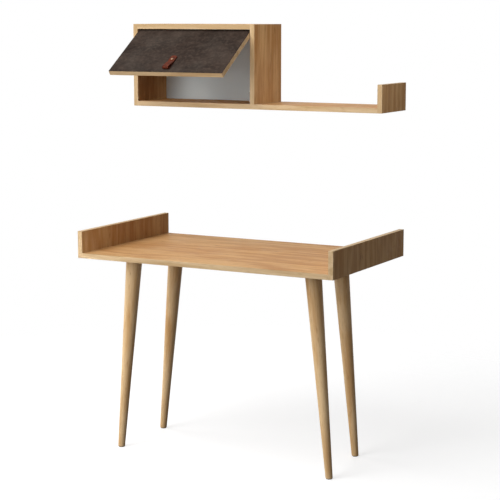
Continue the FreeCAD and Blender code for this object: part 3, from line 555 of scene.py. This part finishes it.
@dataclass(frozen=True)
class LaminateFinish:
    """Dark pressed laminate, clouded and scuffed like oiled slate."""

    deep: Colour = colour(35, 27, 23)
    cloud: Colour = colour(67, 55, 48)
    scuff: Colour = colour(91, 78, 70)
    clouds: Pattern = Pattern(11, 8, 0.9, Rise(0.3, 0.75, high=0.55))
    veins: Pattern = Pattern(16, 7, 1.6, Rise(0.35, 0.75, high=0.45), across=30)
    scuffs: Rise = Rise(0.6, 0.82)
    scuff_share: float = 0.4
    mottle: Pattern = Pattern(85, 6, 0.5, Rise(0.42, 0.68))
    mottle_share: float = 0.22
    fleck_scale: float = 900.0
    fleck_share: float = 0.18
    roughness: Rise = Rise(0.3, 0.8, 0.5, 0.64)
    vein_height: float = 0.8
    feel: Feel = Feel(dust=0.03, polish=0.08, shine=0.03, depth=0.2 * MM, relief=0.3)

    def material(self, name: str) -> Material:
        """The laminate.

        Args:
            name: The material's name.

        Returns:
            The material.
        """
        surface = Surface(name)
        graph, place = surface.graph, surface.place
        veins = self.veins.level(graph, place)
        shade = graph.math("ADD", graph.ramp(veins, self.veins.rise), self.clouds.mask(graph, place))
        stone = graph.blend(shade, self.deep, self.cloud)
        scuffed = graph.film(graph.ramp(veins, self.scuffs), self.scuff_share, stone, self.scuff)
        mottled = graph.film(self.mottle.mask(graph, place), self.mottle_share, scuffed, self.scuff)
        speckle = FineSpeckle.use(graph, {"Place": place, "Scale": self.fleck_scale})
        flecked = graph.film(speckle["Fleck"], self.fleck_share, mottled, self.deep)
        height = graph.plus(speckle["Height"], self.vein_height, veins)
        surface.lay(self.feel, place, flecked, graph.ramp(veins, self.roughness), height)
        return surface.material


@dataclass(frozen=True)
class LeatherFinish:
    """Vegetable tanned leather with a fine pebble, darker creases and burnished edges."""

    tan: Colour = colour(100, 42, 21)
    worn: Colour = colour(112, 54, 32)
    dark: Colour = colour(58, 21, 10)
    patches: Pattern = Pattern(60, 5, 0.6, Rise(0.3, 0.7))
    mark_scale: float = 6.0
    worn_share: float = 0.5
    pebble_scale: float = 900.0
    pebble: Rise = Rise(0.0, 0.16)
    crease: Rise = Rise(0.0, 1.0, 0.35, 0.0)
    rim: Rise = Rise(0.25, 1.0, high=0.7)
    roughness: Rise = Rise(0.2, 0.8, 0.42, 0.55)
    dulled: float = 0.1
    shine: float = 0.08
    depth: float = 0.12 * MM
    relief: float = 0.5

    def material(self, name: str) -> Material:
        """The leather.

        Args:
            name: The material's name.

        Returns:
            The material.
        """
        surface = Surface(name)
        graph, place = surface.graph, surface.place
        inputs = {"Vector": place, "Scale": self.pebble_scale}
        cells = graph.add("TexVoronoi", inputs, feature="DISTANCE_TO_EDGE").outputs[0]
        pebble = graph.ramp(cells, self.pebble)
        patches = self.patches.level(graph, place)
        marks = HandlingMarks.use(graph, {"Place": graph.scaled(place, self.mark_scale)})
        burnish = graph.add("Attribute", attribute_name=BURNISH).outputs["Fac"]
        hide = graph.blend(graph.ramp(patches, self.patches.rise), self.dark, self.tan)
        worn = graph.film(marks["Smudge"], self.worn_share, hide, self.worn)
        creased = graph.blend(graph.ramp(pebble, self.crease), worn, self.dark)
        surface.feed({
            "Base Color": graph.blend(graph.ramp(burnish, self.rim), creased, self.dark),
            "Roughness": graph.plus(graph.ramp(patches, self.roughness), self.dulled, marks["Dust"]),
            "Specular IOR Level": self.shine,
        })
        surface.emboss(pebble, self.depth, self.relief)
        return surface.material


@dataclass(frozen=True)
class PlainFinish:
    """A finish of one colour that flecks, dust and smudges break up, such as metal, felt or melamine."""

    base: tuple[int, int, int]
    fleck: tuple[int, int, int]
    metallic: float = 0.0
    rough: float = 0.5
    fleck_scale: float = 700.0
    fleck_share: float = 0.4
    fleck_rough: float = 0.08
    feel: Feel = Feel(dust=0.08, polish=0.1, shine=0.5, depth=0.05 * MM, relief=0.4)

    def material(self, name: str) -> Material:
        """The finish.

        Args:
            name: The material's name.

        Returns:
            The material.
        """
        surface = Surface(name)
        graph, place = surface.graph, surface.place
        speckle = FineSpeckle.use(graph, {"Place": place, "Scale": self.fleck_scale})
        tones = colour(*self.base), colour(*self.fleck)
        flecked = graph.film(speckle["Fleck"], self.fleck_share, *tones)
        rough = graph.plus(self.rough, self.fleck_rough, speckle["Fleck"])
        surface.lay(self.feel, place, flecked, rough, speckle["Height"])
        surface.feed({"Metallic": self.metallic})
        return surface.material


class Finishes:
    """Hands out the material of each slot, made when it is first asked for."""

    RECIPES: ClassVar[dict[Slot, LaminateFinish | LeatherFinish | PlainFinish]] = {
        Slot.DARK_LAMINATE: LaminateFinish(),
        Slot.TAN_LEATHER: LeatherFinish(),
        Slot.WHITE_BACK: PlainFinish((208, 220, 223), (196, 208, 212), fleck_share=0.3),
        Slot.BLACK_STEEL: PlainFinish((34, 34, 35), (52, 52, 54), rough=0.55, fleck_scale=1400.0),
        Slot.ZINC_STEEL: PlainFinish((186, 186, 184), (150, 150, 150), metallic=1.0, rough=0.34),
        Slot.CAST_ZINC: PlainFinish(
            (158, 158, 158), (120, 120, 122), metallic=1.0, rough=0.48, fleck_scale=500.0
        ),
        Slot.BEECH_DOWEL: PlainFinish((214, 182, 140), (190, 152, 108), rough=0.6),
        Slot.FELT_PAD: PlainFinish(
            (70, 58, 48), (98, 84, 70), rough=0.9, feel=replace(PlainFinish.feel, depth=0.3 * MM)
        ),
        Slot.PULL_RIVET: PlainFinish((158, 128, 104), (120, 92, 70), metallic=1.0, rough=0.36),
        Slot.GREY_PLASTIC: PlainFinish((150, 150, 148), (136, 136, 134), rough=0.46),
        Slot.MAGNET_BLOCK: PlainFinish((64, 62, 60), (88, 85, 82)),
    }

    def __init__(self) -> None:
        """Read which slot the record gives each node."""
        self.slots = {part["node"]: Slot(part["material_slot"]) for part in frame["record"]["subparts"]}

    @cache
    def of(self, slot: Slot) -> Material:
        """The material of a slot."""
        return self.RECIPES[slot].material(slot.value)

    def dress(self, nodes: Iterable[str]) -> None:
        """Give CAD nodes the materials of their slots."""
        for node in nodes:
            dress(node, self.of(self.slots[node]))


def dress(node: str, material: Material) -> None:
    """Give a CAD node its material.

    Args:
        node: The node's name.
        material: The material.
    """
    piece = frame["nodes"][node]
    piece.data.materials.clear()
    piece.data.materials.append(material)
    log.info("dressed %s with %s", node, material.name)


def corners_of(node: str, turn: Matrix) -> tuple[Vector, Vector]:
    """The lowest and highest corner of a CAD node after a turn.

    Args:
        node: The node's name.
        turn: The turn.

    Returns:
        Both corners.
    """
    spots = [turn @ vertex.co for vertex in frame["nodes"][node].data.vertices]
    low = Vector(min(spot[i] for spot in spots) for i in range(3))
    high = Vector(max(spot[i] for spot in spots) for i in range(3))
    return low, high


def solids_of(node: str) -> Iterator[list[Vector]]:
    """The corner points of each separate solid of a CAD node.

    Args:
        node: The node's name.

    Returns:
        One list of points after another.
    """
    mesh = bmesh.new()
    mesh.from_mesh(frame["nodes"][node].data)
    bmesh.ops.remove_doubles(mesh, verts=mesh.verts, dist=MERGE)
    waiting = dict.fromkeys(mesh.verts)
    while waiting:
        front, found = [waiting.popitem()[0]], []
        while front:
            vertex = front.pop()
            found.append(vertex.co.copy())
            others = [edge.other_vert(vertex) for edge in vertex.link_edges]
            fresh = [other for other in others if other in waiting]
            for other in fresh:
                del waiting[other]
            front += fresh
        yield found
    mesh.free()


def verts_in(geometry: Iterable) -> list[bmesh.types.BMVert]:
    """The corner points among the geometry that an operator made."""
    return [part for part in geometry if isinstance(part, bmesh.types.BMVert)]


def round_edges(mesh: BMesh, radius: float, segments: int) -> None:
    """Round the edges of a mesh that are too sharp to shade smooth.

    Args:
        mesh: The mesh.
        radius: How far the rounding reaches.
        segments: How many faces it has.
    """
    edges = [edge for edge in mesh.edges if edge.calc_face_angle(0) > SHARP]
    bmesh.ops.bevel(
        mesh, geom=edges, offset=radius, affect="EDGES", segments=segments, profile=0.5, material=-1
    )


def add_object(name: str, mesh: BMesh, material: Material) -> bpy.types.Object:
    """Make an object of a finished mesh.

    Args:
        name: The object's name.
        mesh: Its mesh, in place, which is freed.
        material: Its finish.

    Returns:
        The object.
    """
    bmesh.ops.remove_doubles(mesh, verts=mesh.verts, dist=MERGE)
    bmesh.ops.recalc_face_normals(mesh, faces=mesh.faces)
    data = bpy.data.meshes.new(name)
    mesh.to_mesh(data)
    mesh.free()
    data.materials.append(material)
    data.shade_smooth()
    data.set_sharp_from_angle(angle=SHARP)
    piece = bpy.data.objects.new(name, data)
    bpy.context.scene.collection.objects.link(piece)
    return piece


def stand_in(name: str, mesh: BMesh, finishes: Finishes, body: Body, nodes: tuple[str, ...]) -> None:
    """Put a finished mesh in the place of CAD nodes.

    Args:
        name: The piece's name.
        mesh: Its mesh, in place.
        finishes: The materials, of which it takes the one of the nodes' slot.
        body: The body that it rides on.
        nodes: The nodes that it replaces.
    """
    slot = finishes.slots[nodes[0]]
    piece = add_object(name, mesh, finishes.of(slot))
    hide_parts(*nodes)
    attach(piece, body.value)
    log.info("built %s in place of %s", name, ", ".join(nodes))


@dataclass(frozen=True)
class Board:
    """One veneered board: which way grain, length and thickness run, and which cut of veneer it has."""

    node: str
    grain: Axis
    run: Axis
    thick: Axis
    cut: int
    # a share that darkens the board's veneer as painted shade, 1 for none
    lift: float = 1.0
    turn: Matrix = STILL

    def dress(self, finish: BoardFinish) -> None:
        """Give the board its finish."""
        dress(self.node, finish.material(self))


@dataclass(frozen=True)
class Leg:
    """One turned leg at a corner of the desk, and the piece of wood that it was cut from."""

    corner: str
    cut: int

    @property
    def node(self) -> str:
        """The leg's node."""
        return f"{self.corner}_leg"

    @property
    def plate(self) -> str:
        """The node of the plate that the leg is screwed into."""
        return f"{self.corner}_leg_plate"

    @property
    def glide(self) -> str:
        """The node of the pad under the leg."""
        return f"{self.corner}_glide"

    def way(self) -> Vector:
        """The way that the leg runs, from foot to head."""
        return sum(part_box(self.plate), Vector()) / 2 - sum(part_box(self.glide), Vector()) / 2

    def dress(self, finish: LegFinish) -> None:
        """Give the leg its finish."""
        dress(self.node, finish.material(self))


@dataclass(frozen=True)
class ScrewSet:
    """Pan head screws with a cross recess, in place of a CAD node's plain ones."""

    node: str
    outwards: Vector
    head_height: float
    body: Body = Body.DESK_AND_WALL_UNIT
    steps: int = 24
    flat_share: float = 0.62
    dome_shares: tuple[tuple[float, float], ...] = ((0.84, 0.86), (0.97, 0.5), (1.0, 0.12), (0.98, 0.0))
    tip_share: float = 0.12
    recess_reach_share: float = 0.78
    recess_width_share: float = 0.26
    recess_depth_share: float = 0.55
    recess_taper_share: float = 0.7

    CELLS: ClassVar[int] = 3  # a cross is a grid of this many squares a side without its corners
    SLANT: ClassVar[Vector] = Vector((1, 0.37, 0.11))  # faces are sorted along it, alike in every run

    def build(self, finishes: Finishes) -> None:
        """Make all screws of the set as one piece.

        Args:
            finishes: The materials.
        """
        lay = Axis.HEIGHT.way.rotation_difference(self.outwards).to_matrix().to_4x4()
        batch = bmesh.new()
        single = bpy.data.meshes.new(self.node)
        for points in solids_of(self.node):
            local = [lay.inverted() @ point for point in points]
            if not single.vertices:
                self.turn_one(single, local)
            before = len(batch.verts)
            batch.from_mesh(single)
            batch.verts.ensure_lookup_table()
            place = lay @ Matrix.Translation(self.seat(local))
            bmesh.ops.transform(batch, verts=batch.verts[before:], matrix=place)
        bpy.data.meshes.remove(single)
        stand_in(f"{self.node}_crossed", batch, finishes, self.body, (self.node,))

    def seat(self, local: list[Vector]) -> Vector:
        """The middle of the face that a plain screw's head sits on.

        Args:
            local: The plain screw's points, with its head upwards.

        Returns:
            The spot.
        """
        middle = sum(local, Vector()) / len(local)
        middle.z = max(point.z for point in local) - self.head_height
        return middle

    def turn_one(self, single: bpy.types.Mesh, local: list[Vector]) -> None:
        """Turn one screw about Z with its seat at zero, as large as the plain one.

        Args:
            single: The mesh that it goes into.
            local: The plain screw's points, with its head upwards.
        """
        spots = [point - self.seat(local) for point in local]
        head = max(spot.xy.length for spot in spots)
        shank = max(spot.xy.length for spot in spots if spot.z < -self.head_height)
        tip = min(spot.z for spot in spots)
        flat = head * self.flat_share
        profile = [(flat, self.head_height)]
        profile += [(head * out, self.head_height * up) for out, up in self.dome_shares]
        profile += [(shank, 0), (shank, tip + shank), (shank * self.tip_share, tip)]
        mesh = bmesh.new()
        verts = [mesh.verts.new((radius, 0, height)) for radius, height in profile]
        edges = [mesh.edges.new(pair) for pair in zip(verts, verts[1:])]
        bmesh.ops.spin(
            mesh, geom=verts + edges, axis=Axis.HEIGHT.way, cent=Vector(),
            angle=2 * math.pi, steps=self.steps, use_merge=True,
        )
        bmesh.ops.remove_doubles(mesh, verts=mesh.verts, dist=MERGE)
        rims = [edge for edge in mesh.edges if edge.is_boundary]
        bmesh.ops.edgeloop_fill(mesh, edges=[edge for edge in rims if edge.verts[0].co.z < 0])
        top = [edge for edge in rims if edge.verts[0].co.z > 0]
        self.cut_recess(mesh, top, flat * self.recess_reach_share)
        bmesh.ops.recalc_face_normals(mesh, faces=mesh.faces)
        mesh.faces.sort(key=lambda face: face.calc_center_median().dot(self.SLANT))
        mesh.to_mesh(single)
        mesh.free()

    def cut_recess(self, mesh: BMesh, rim: list[bmesh.types.BMEdge], reach: float) -> None:
        """Close the head's flat top round a cross and sink the cross.

        Args:
            mesh: The screw.
            rim: The edges round the open top.
            reach: How far the cross reaches from the middle.
        """
        cells, taper = self.CELLS, self.recess_taper_share
        grid = bmesh.ops.create_grid(mesh, x_segments=cells, y_segments=cells, size=reach)["verts"]
        squeeze = cells * self.recess_width_share
        for side, scale in ((0, (squeeze, 1, 1)), (1, (1, squeeze, 1))):
            inner = [vertex for vertex in grid if abs(vertex.co[side]) < reach / 2]
            bmesh.ops.scale(mesh, verts=inner, vec=Vector(scale))
        bmesh.ops.translate(mesh, verts=grid, vec=Vector((0, 0, self.head_height)))
        squares = dict.fromkeys(face for vertex in grid for face in vertex.link_faces)
        corners = [face for face in squares if min(map(abs, face.calc_center_median().xy)) > reach / 2]
        bmesh.ops.delete(mesh, geom=corners, context="FACES")
        cross = [face for face in squares if face.is_valid]
        outline = dict.fromkeys(edge for face in cross for edge in face.edges if edge.is_boundary)
        bmesh.ops.triangle_fill(mesh, edges=[*rim, *outline], use_beauty=True)
        sunk = verts_in(bmesh.ops.extrude_face_region(mesh, geom=cross)["geom"])
        bmesh.ops.delete(mesh, geom=cross, context="FACES")
        depth = self.head_height * self.recess_depth_share
        bmesh.ops.translate(mesh, verts=sunk, vec=Vector((0, 0, -depth)))
        bmesh.ops.scale(mesh, verts=sunk, vec=Vector((taper, taper, 1)))


@dataclass(frozen=True)
class FeltGlides:
    """Felt pads under the legs, drawn in a little where they meet the floor."""

    nodes: tuple[str, ...]
    segments: int = 40
    foot_share: float = 0.97
    edge_round: float = 0.7 * MM
    edge_segments: int = 3

    def build(self, finishes: Finishes) -> None:
        """Punch all pads as one piece.

        Args:
            finishes: The materials.
        """
        mesh = bmesh.new()
        for node in self.nodes:
            low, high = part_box(node)
            radius = (high.x - low.x) / 2
            pad = bmesh.ops.create_cone(
                mesh, cap_ends=True, segments=self.segments,
                radius1=radius * self.foot_share, radius2=radius, depth=high.z - low.z,
            )["verts"]
            bmesh.ops.translate(mesh, verts=pad, vec=(low + high) / 2)
        round_edges(mesh, self.edge_round, self.edge_segments)
        stand_in("felt_glides", mesh, finishes, Body.DESK_AND_WALL_UNIT, self.nodes)


class Strip:
    """A strip that grows row by row, its width along X, straight down until it bends to the front."""

    def __init__(self, mesh: BMesh, width: float) -> None:
        """Lay the first row.

        Args:
            mesh: The mesh that the strip goes into.
            width: The strip's width.
        """
        ends = [mesh.verts.new((side * width / 2, 0, 0)) for side in (-1, 1)]
        self.mesh = mesh
        self.row = [mesh.edges.new(ends)]
        self.heading = 0.0

    def grow(self, length: float) -> None:
        """Extrude the last row straight on.

        Args:
            length: How far.
        """
        made = bmesh.ops.extrude_edge_only(self.mesh, edges=self.row)["geom"]
        ends = verts_in(made)
        way = Vector((0, -math.sin(self.heading), -math.cos(self.heading)))
        bmesh.ops.translate(self.mesh, verts=ends, vec=way * length)
        edges = [part for part in made if isinstance(part, bmesh.types.BMEdge)]
        self.row = [edge for edge in edges if set(edge.verts) == set(ends)]

    def roll(self, radius: float, angle: float, steps: int) -> None:
        """Bend the strip round a roller towards the front.

        Args:
            radius: The roller's radius.
            angle: How far it goes round.
            steps: In how many rows.
        """
        half = angle / steps / 2
        for _ in range(steps):
            self.heading += half
            self.grow(2 * radius * math.sin(half))
            self.heading += half


@dataclass(frozen=True)
class LeatherPull:
    """The strap on the flap: leather folded into a loop, its ends stacked under the screw."""

    node: str = "leather_pull"
    thick: float = 2.2 * MM
    crease: float = 36 * MM
    corner: float = 9 * MM
    corner_segments: int = 8
    seam_gap: float = 0.06 * MM
    loop_steps: int = 16
    burnished: float = 1.3 * MM
    edge_round: float = 0.45 * MM
    edge_segments: int = 2

    def build(self, finishes: Finishes) -> None:
        """Make the strap where the plain solid is, on the closed flap, and open it.

        Args:
            finishes: The materials.
        """
        low, high = corners_of(self.node, CLOSED)
        mesh = bmesh.new()
        self.fold(mesh, high - low)
        self.trim(mesh)
        bmesh.ops.solidify(mesh, geom=mesh.faces[:], thickness=self.thick)
        round_edges(mesh, self.edge_round, self.edge_segments)
        place = Matrix.Translation(Vector(((low.x + high.x) / 2, high.y, high.z)))
        bmesh.ops.transform(mesh, verts=mesh.verts, matrix=OPENED @ place)
        stand_in("leather_pull_folded", mesh, finishes, Body.FLAP, (self.node,))

    def fold(self, mesh: BMesh, size: Vector) -> None:
        """Fold the outer face of the strap: down the flap, round the loop and up over itself.

        Args:
            mesh: The mesh that it goes into.
            size: Width, depth and height of the folded strap.
        """
        radius = size.y / 2
        roller = Vector((radius, size.z - radius))
        slope = roller - Vector((2 * self.thick + self.seam_gap, self.crease))
        lean = math.atan2(slope.x, slope.y) + math.asin(radius / slope.length)
        strip = Strip(mesh, size.x)
        strip.grow(roller.y)
        strip.roll(radius, math.pi + lean, self.loop_steps)
        strip.grow(math.sqrt(slope.length**2 - radius**2))
        strip.heading -= lean
        strip.grow(self.crease)
        bmesh.ops.recalc_face_normals(mesh, faces=mesh.faces)

    def trim(self, mesh: BMesh) -> None:
        """Round the ends of the strap and mark the rim that is burnished.

        Args:
            mesh: The strap's outer face.
        """
        corners = [vertex for vertex in mesh.verts if len(vertex.link_edges) == 2]
        bmesh.ops.bevel(
            mesh, geom=corners, offset=self.corner, affect="VERTICES",
            segments=self.corner_segments, profile=0.5, material=-1,
        )
        bmesh.ops.inset_region(
            mesh, faces=mesh.faces, thickness=self.burnished, use_boundary=True, use_even_offset=True
        )
        burnish = mesh.verts.layers.float.new(BURNISH)
        for vertex in mesh.verts:
            vertex[burnish] = float(vertex.is_boundary)


@dataclass(frozen=True)
class Desk:
    """The desk: desktop, two side panels, four splayed legs and what holds them."""

    boards: tuple[Board, ...] = (
        Board("desktop_panel", Axis.WIDTH, Axis.WIDTH, Axis.HEIGHT, 1),
        # the side panels' veneer is darkened as painted shade
        Board("left_side_panel", Axis.HEIGHT, Axis.DEPTH, Axis.WIDTH, 4, lift=0.78),
        Board("right_side_panel", Axis.HEIGHT, Axis.DEPTH, Axis.WIDTH, 5, lift=0.95),
    )
    legs: tuple[Leg, ...] = (
        Leg("front_left", -1), Leg("front_right", -2), Leg("rear_left", -3), Leg("rear_right", -4),
    )
    joinery: tuple[str, ...] = ("leg_hanger_bolts", "desk_dowels", "desk_cam_bolts", "desk_cams")
    screw_head: float = 2.4 * MM

    def build(self, finishes: Finishes) -> None:
        """Dress the boards, legs and fittings, and make pads and screws.

        Args:
            finishes: The materials.
        """
        for board in self.boards:
            board.dress(BoardFinish())
        for leg in self.legs:
            leg.dress(LegFinish())
        finishes.dress(leg.plate for leg in self.legs)
        finishes.dress(self.joinery)
        FeltGlides(tuple(leg.glide for leg in self.legs)).build(finishes)
        ScrewSet("leg_plate_screws", -Axis.HEIGHT.way, self.screw_head).build(finishes)


@dataclass(frozen=True)
class WallUnit:
    """The wall unit without its flap: cabinet, long shelf, end upright, back panel and hangers."""

    boards: tuple[Board, ...] = (
        Board("cabinet_top", Axis.WIDTH, Axis.WIDTH, Axis.HEIGHT, 2),
        Board("shelf_board", Axis.WIDTH, Axis.WIDTH, Axis.HEIGHT, 3),
        # the cabinet's left side is darkened as painted shade
        Board("cabinet_left_side", Axis.HEIGHT, Axis.HEIGHT, Axis.WIDTH, 6, lift=0.75),
        Board("partition", Axis.HEIGHT, Axis.HEIGHT, Axis.WIDTH, 7),
        Board("end_upright", Axis.HEIGHT, Axis.HEIGHT, Axis.WIDTH, 8),
    )
    fittings: tuple[str, ...] = (
        "back_panel", "left_hanger_plate", "middle_hanger_plate", "right_hanger_plate",
        "left_pivot_sleeve", "right_pivot_sleeve", "catch_housing", "catch_magnet",
    )
    joinery: tuple[str, ...] = ("wall_unit_dowels", "wall_unit_cam_bolts", "wall_unit_cams")
    long_head: float = 4 * MM
    small_head: float = 1.8 * MM

    def build(self, finishes: Finishes) -> None:
        """Dress the boards and fittings, and make the screws.

        Args:
            finishes: The materials.
        """
        for board in self.boards:
            board.dress(BoardFinish())
        finishes.dress(self.fittings + self.joinery)
        ScrewSet("partition_screws", -Axis.HEIGHT.way, self.long_head).build(finishes)
        ScrewSet("hanger_screws", Axis.DEPTH.way, self.small_head).build(finishes)
        ScrewSet("catch_screws", -Axis.WIDTH.way, self.small_head).build(finishes)


@dataclass(frozen=True)
class FlapAssembly:
    """The flap: panel, laminate, pivot pins, strike plate and leather pull."""

    panel: Board = Board("flap_panel", Axis.WIDTH, Axis.WIDTH, Axis.DEPTH, 9, turn=CLOSING)
    pull: LeatherPull = LeatherPull()
    fittings: tuple[str, ...] = (
        "flap_front_laminate", "left_pivot_pin", "right_pivot_pin", "strike_plate",
    )
    strike_head: float = 1.8 * MM
    pull_head: float = 3 * MM

    def build(self, finishes: Finishes) -> None:
        """Dress the panel and fittings, and make the pull and the screws.

        Args:
            finishes: The materials.
        """
        self.panel.dress(BoardFinish())
        finishes.dress(self.fittings)
        self.pull.build(finishes)
        inwards = OPENED.to_3x3() @ Axis.DEPTH.way
        ScrewSet("strike_screw", inwards, self.strike_head, Body.FLAP).build(finishes)
        ScrewSet("pull_screw", -inwards, self.pull_head, Body.FLAP).build(finishes)


@dataclass(frozen=True)
class Softbox:
    """A square soft lamp: from where it shines, and how bright it makes a white face turned to it."""

    name: str
    direction: tuple[float, float, float]
    distance: float
    size: float
    level: float
    target: tuple[float, float, float] = (0, 0, 0.85)
    spread: float = 180
    mirrored: bool = True

    def build(self) -> None:
        """Hang the lamp so that it shines on its target."""
        light = bpy.data.lights.new(self.name, "AREA")
        light.energy = self.level * math.pi**2 * self.distance**2
        light.size = self.size
        light.spread = math.radians(self.spread)
        lamp = bpy.data.objects.new(self.name, light)
        away = Vector(self.direction).normalized()
        lamp.location = Vector(self.target) + away * self.distance
        lamp.rotation_euler = away.to_track_quat("Z", "Y").to_euler()
        lamp.visible_camera = False
        lamp.visible_glossy = self.mirrored
        bpy.context.scene.collection.objects.link(lamp)
        log.info("hung the %s lamp", self.name)


@dataclass(frozen=True)
class Studio:
    """White surroundings, a pale floor that keeps the shadow, and soft light from above and the left."""

    ambient: float = 0.17
    floor_reach: float = 6.0
    floor_shade: float = 0.5
    floor_bounce: float = 0.12
    floor_glow: float = 0.62
    floor_fade: Rise = Rise(1.2, 2.4)
    softboxes: tuple[Softbox, ...] = (
        Softbox("overhead", (-0.25, -0.5, 0.83), 4.0, 3.0, 0.68),
        Softbox("front_left", (-0.33, -0.89, 0.32), 4.5, 2.6, 0.46),
        Softbox("low_left", (-0.56, -0.79, -0.25), 3.0, 2.0, 0.2, target=(0, 0.1, 1.3)),
        Softbox(
            "shelf_right", (0.8, -0.55, 0.25), 1.6, 0.7, 0.021,
            target=(0, 0.2, 1.42), spread=34, mirrored=False,
        ),
        Softbox("rear_left", (-0.45, 0.85, 0.27), 4.5, 2.6, 0.32, mirrored=False),
        Softbox("left", (-0.96, 0.1, 0.2), 4.5, 2.0, 0.42, mirrored=False),
        Softbox(
            "panel_right", (0.72, -0.67, 0.16), 1.7, 0.3, 0.0065,
            target=(-0.48, -0.4, 0.83), spread=15, mirrored=False,
        ),
    )

    def build(self) -> None:
        """Set up world, floor and lamps."""
        self.world()
        self.floor()
        for softbox in self.softboxes:
            softbox.build()
        bpy.context.scene.view_settings.view_transform = "Standard"
        log.info("studio is set")

    def world(self) -> None:
        """White where it is seen or mirrored, dimmer where it lights."""
        world = bpy.data.worlds.new("studio")
        world.use_nodes = True
        bpy.context.scene.world = world
        graph = Graph(world.node_tree)
        ray = graph.add("LightPath").outputs
        mirrored = graph.math("MAXIMUM", ray["Is Glossy Ray"], ray["Is Transmission Ray"])
        seen = graph.math("MAXIMUM", ray["Is Camera Ray"], mirrored)
        strength = graph.ramp(seen, Rise(0.0, 1.0, low=self.ambient))
        graph.feed(world.node_tree.nodes["Background"], {"Color": grey(1.0), "Strength": strength})

    def floor(self) -> None:
        """A floor that fades into the white and lets the underside be seen from below."""
        mesh = bmesh.new()
        bmesh.ops.create_grid(mesh, x_segments=1, y_segments=1, size=self.floor_reach)
        material = bpy.data.materials.new("studio_floor")
        material.use_nodes = True
        graph = Graph(material.node_tree)
        seen = graph.add("LightPath").outputs["Is Camera Ray"]
        shade = graph.blend(seen, grey(self.floor_bounce), grey(self.floor_shade))
        lit = graph.add("BsdfDiffuse", {"Color": shade}).outputs[0]
        strength = graph.math("MULTIPLY", seen, self.floor_glow)
        glow = graph.add("Emission", {"Strength": strength}).outputs[0]
        ground = graph.add("AddShader", {0: lit, 1: glow}).outputs[0]
        place = graph.add("TexCoord").outputs["Object"]
        away = graph.add("VectorMath", {0: place}, operation="LENGTH").outputs["Value"]
        behind = graph.add("NewGeometry").outputs["Backfacing"]
        clear = graph.math("MAXIMUM", graph.ramp(away, self.floor_fade), behind)
        hidden = graph.add("BsdfTransparent").outputs[0]
        faded = graph.add("MixShader", {0: clear, 1: ground, 2: hidden}).outputs[0]
        graph.feed(material.node_tree.nodes["Material Output"], {"Surface": faded})
        add_object("studio_floor", mesh, material)


@dataclass(frozen=True)
class PhotoCamera:
    """The camera at the photograph's angle."""

    spot: tuple[float, float, float] = (2.6015, -4.7643, 1.5715)
    bearing: float = 28.314
    dip: float = 8.691
    lens: float = 110.95
    sensor: float = 36.0

    def build(self) -> None:
        """Make the camera and look through it."""
        data = bpy.data.cameras.new("photo_camera")
        data.lens = self.lens
        data.sensor_width = self.sensor
        camera = bpy.data.objects.new("photo_camera", data)
        camera.location = self.spot
        camera.rotation_euler = Euler((math.radians(90 - self.dip), 0, math.radians(self.bearing)))
        bpy.context.scene.collection.objects.link(camera)
        bpy.context.scene.camera = camera
        log.info("camera is set")


def main() -> None:
    """Build and dress each sub-assembly, then set studio and camera."""
    logging.basicConfig(level=logging.INFO, format="%(name)s: %(message)s")
    finishes = Finishes()
    Desk().build(finishes)
    WallUnit().build(finishes)
    FlapAssembly().build(finishes)
    Studio().build()
    PhotoCamera().build()


if __name__ == "__main__":
    main()
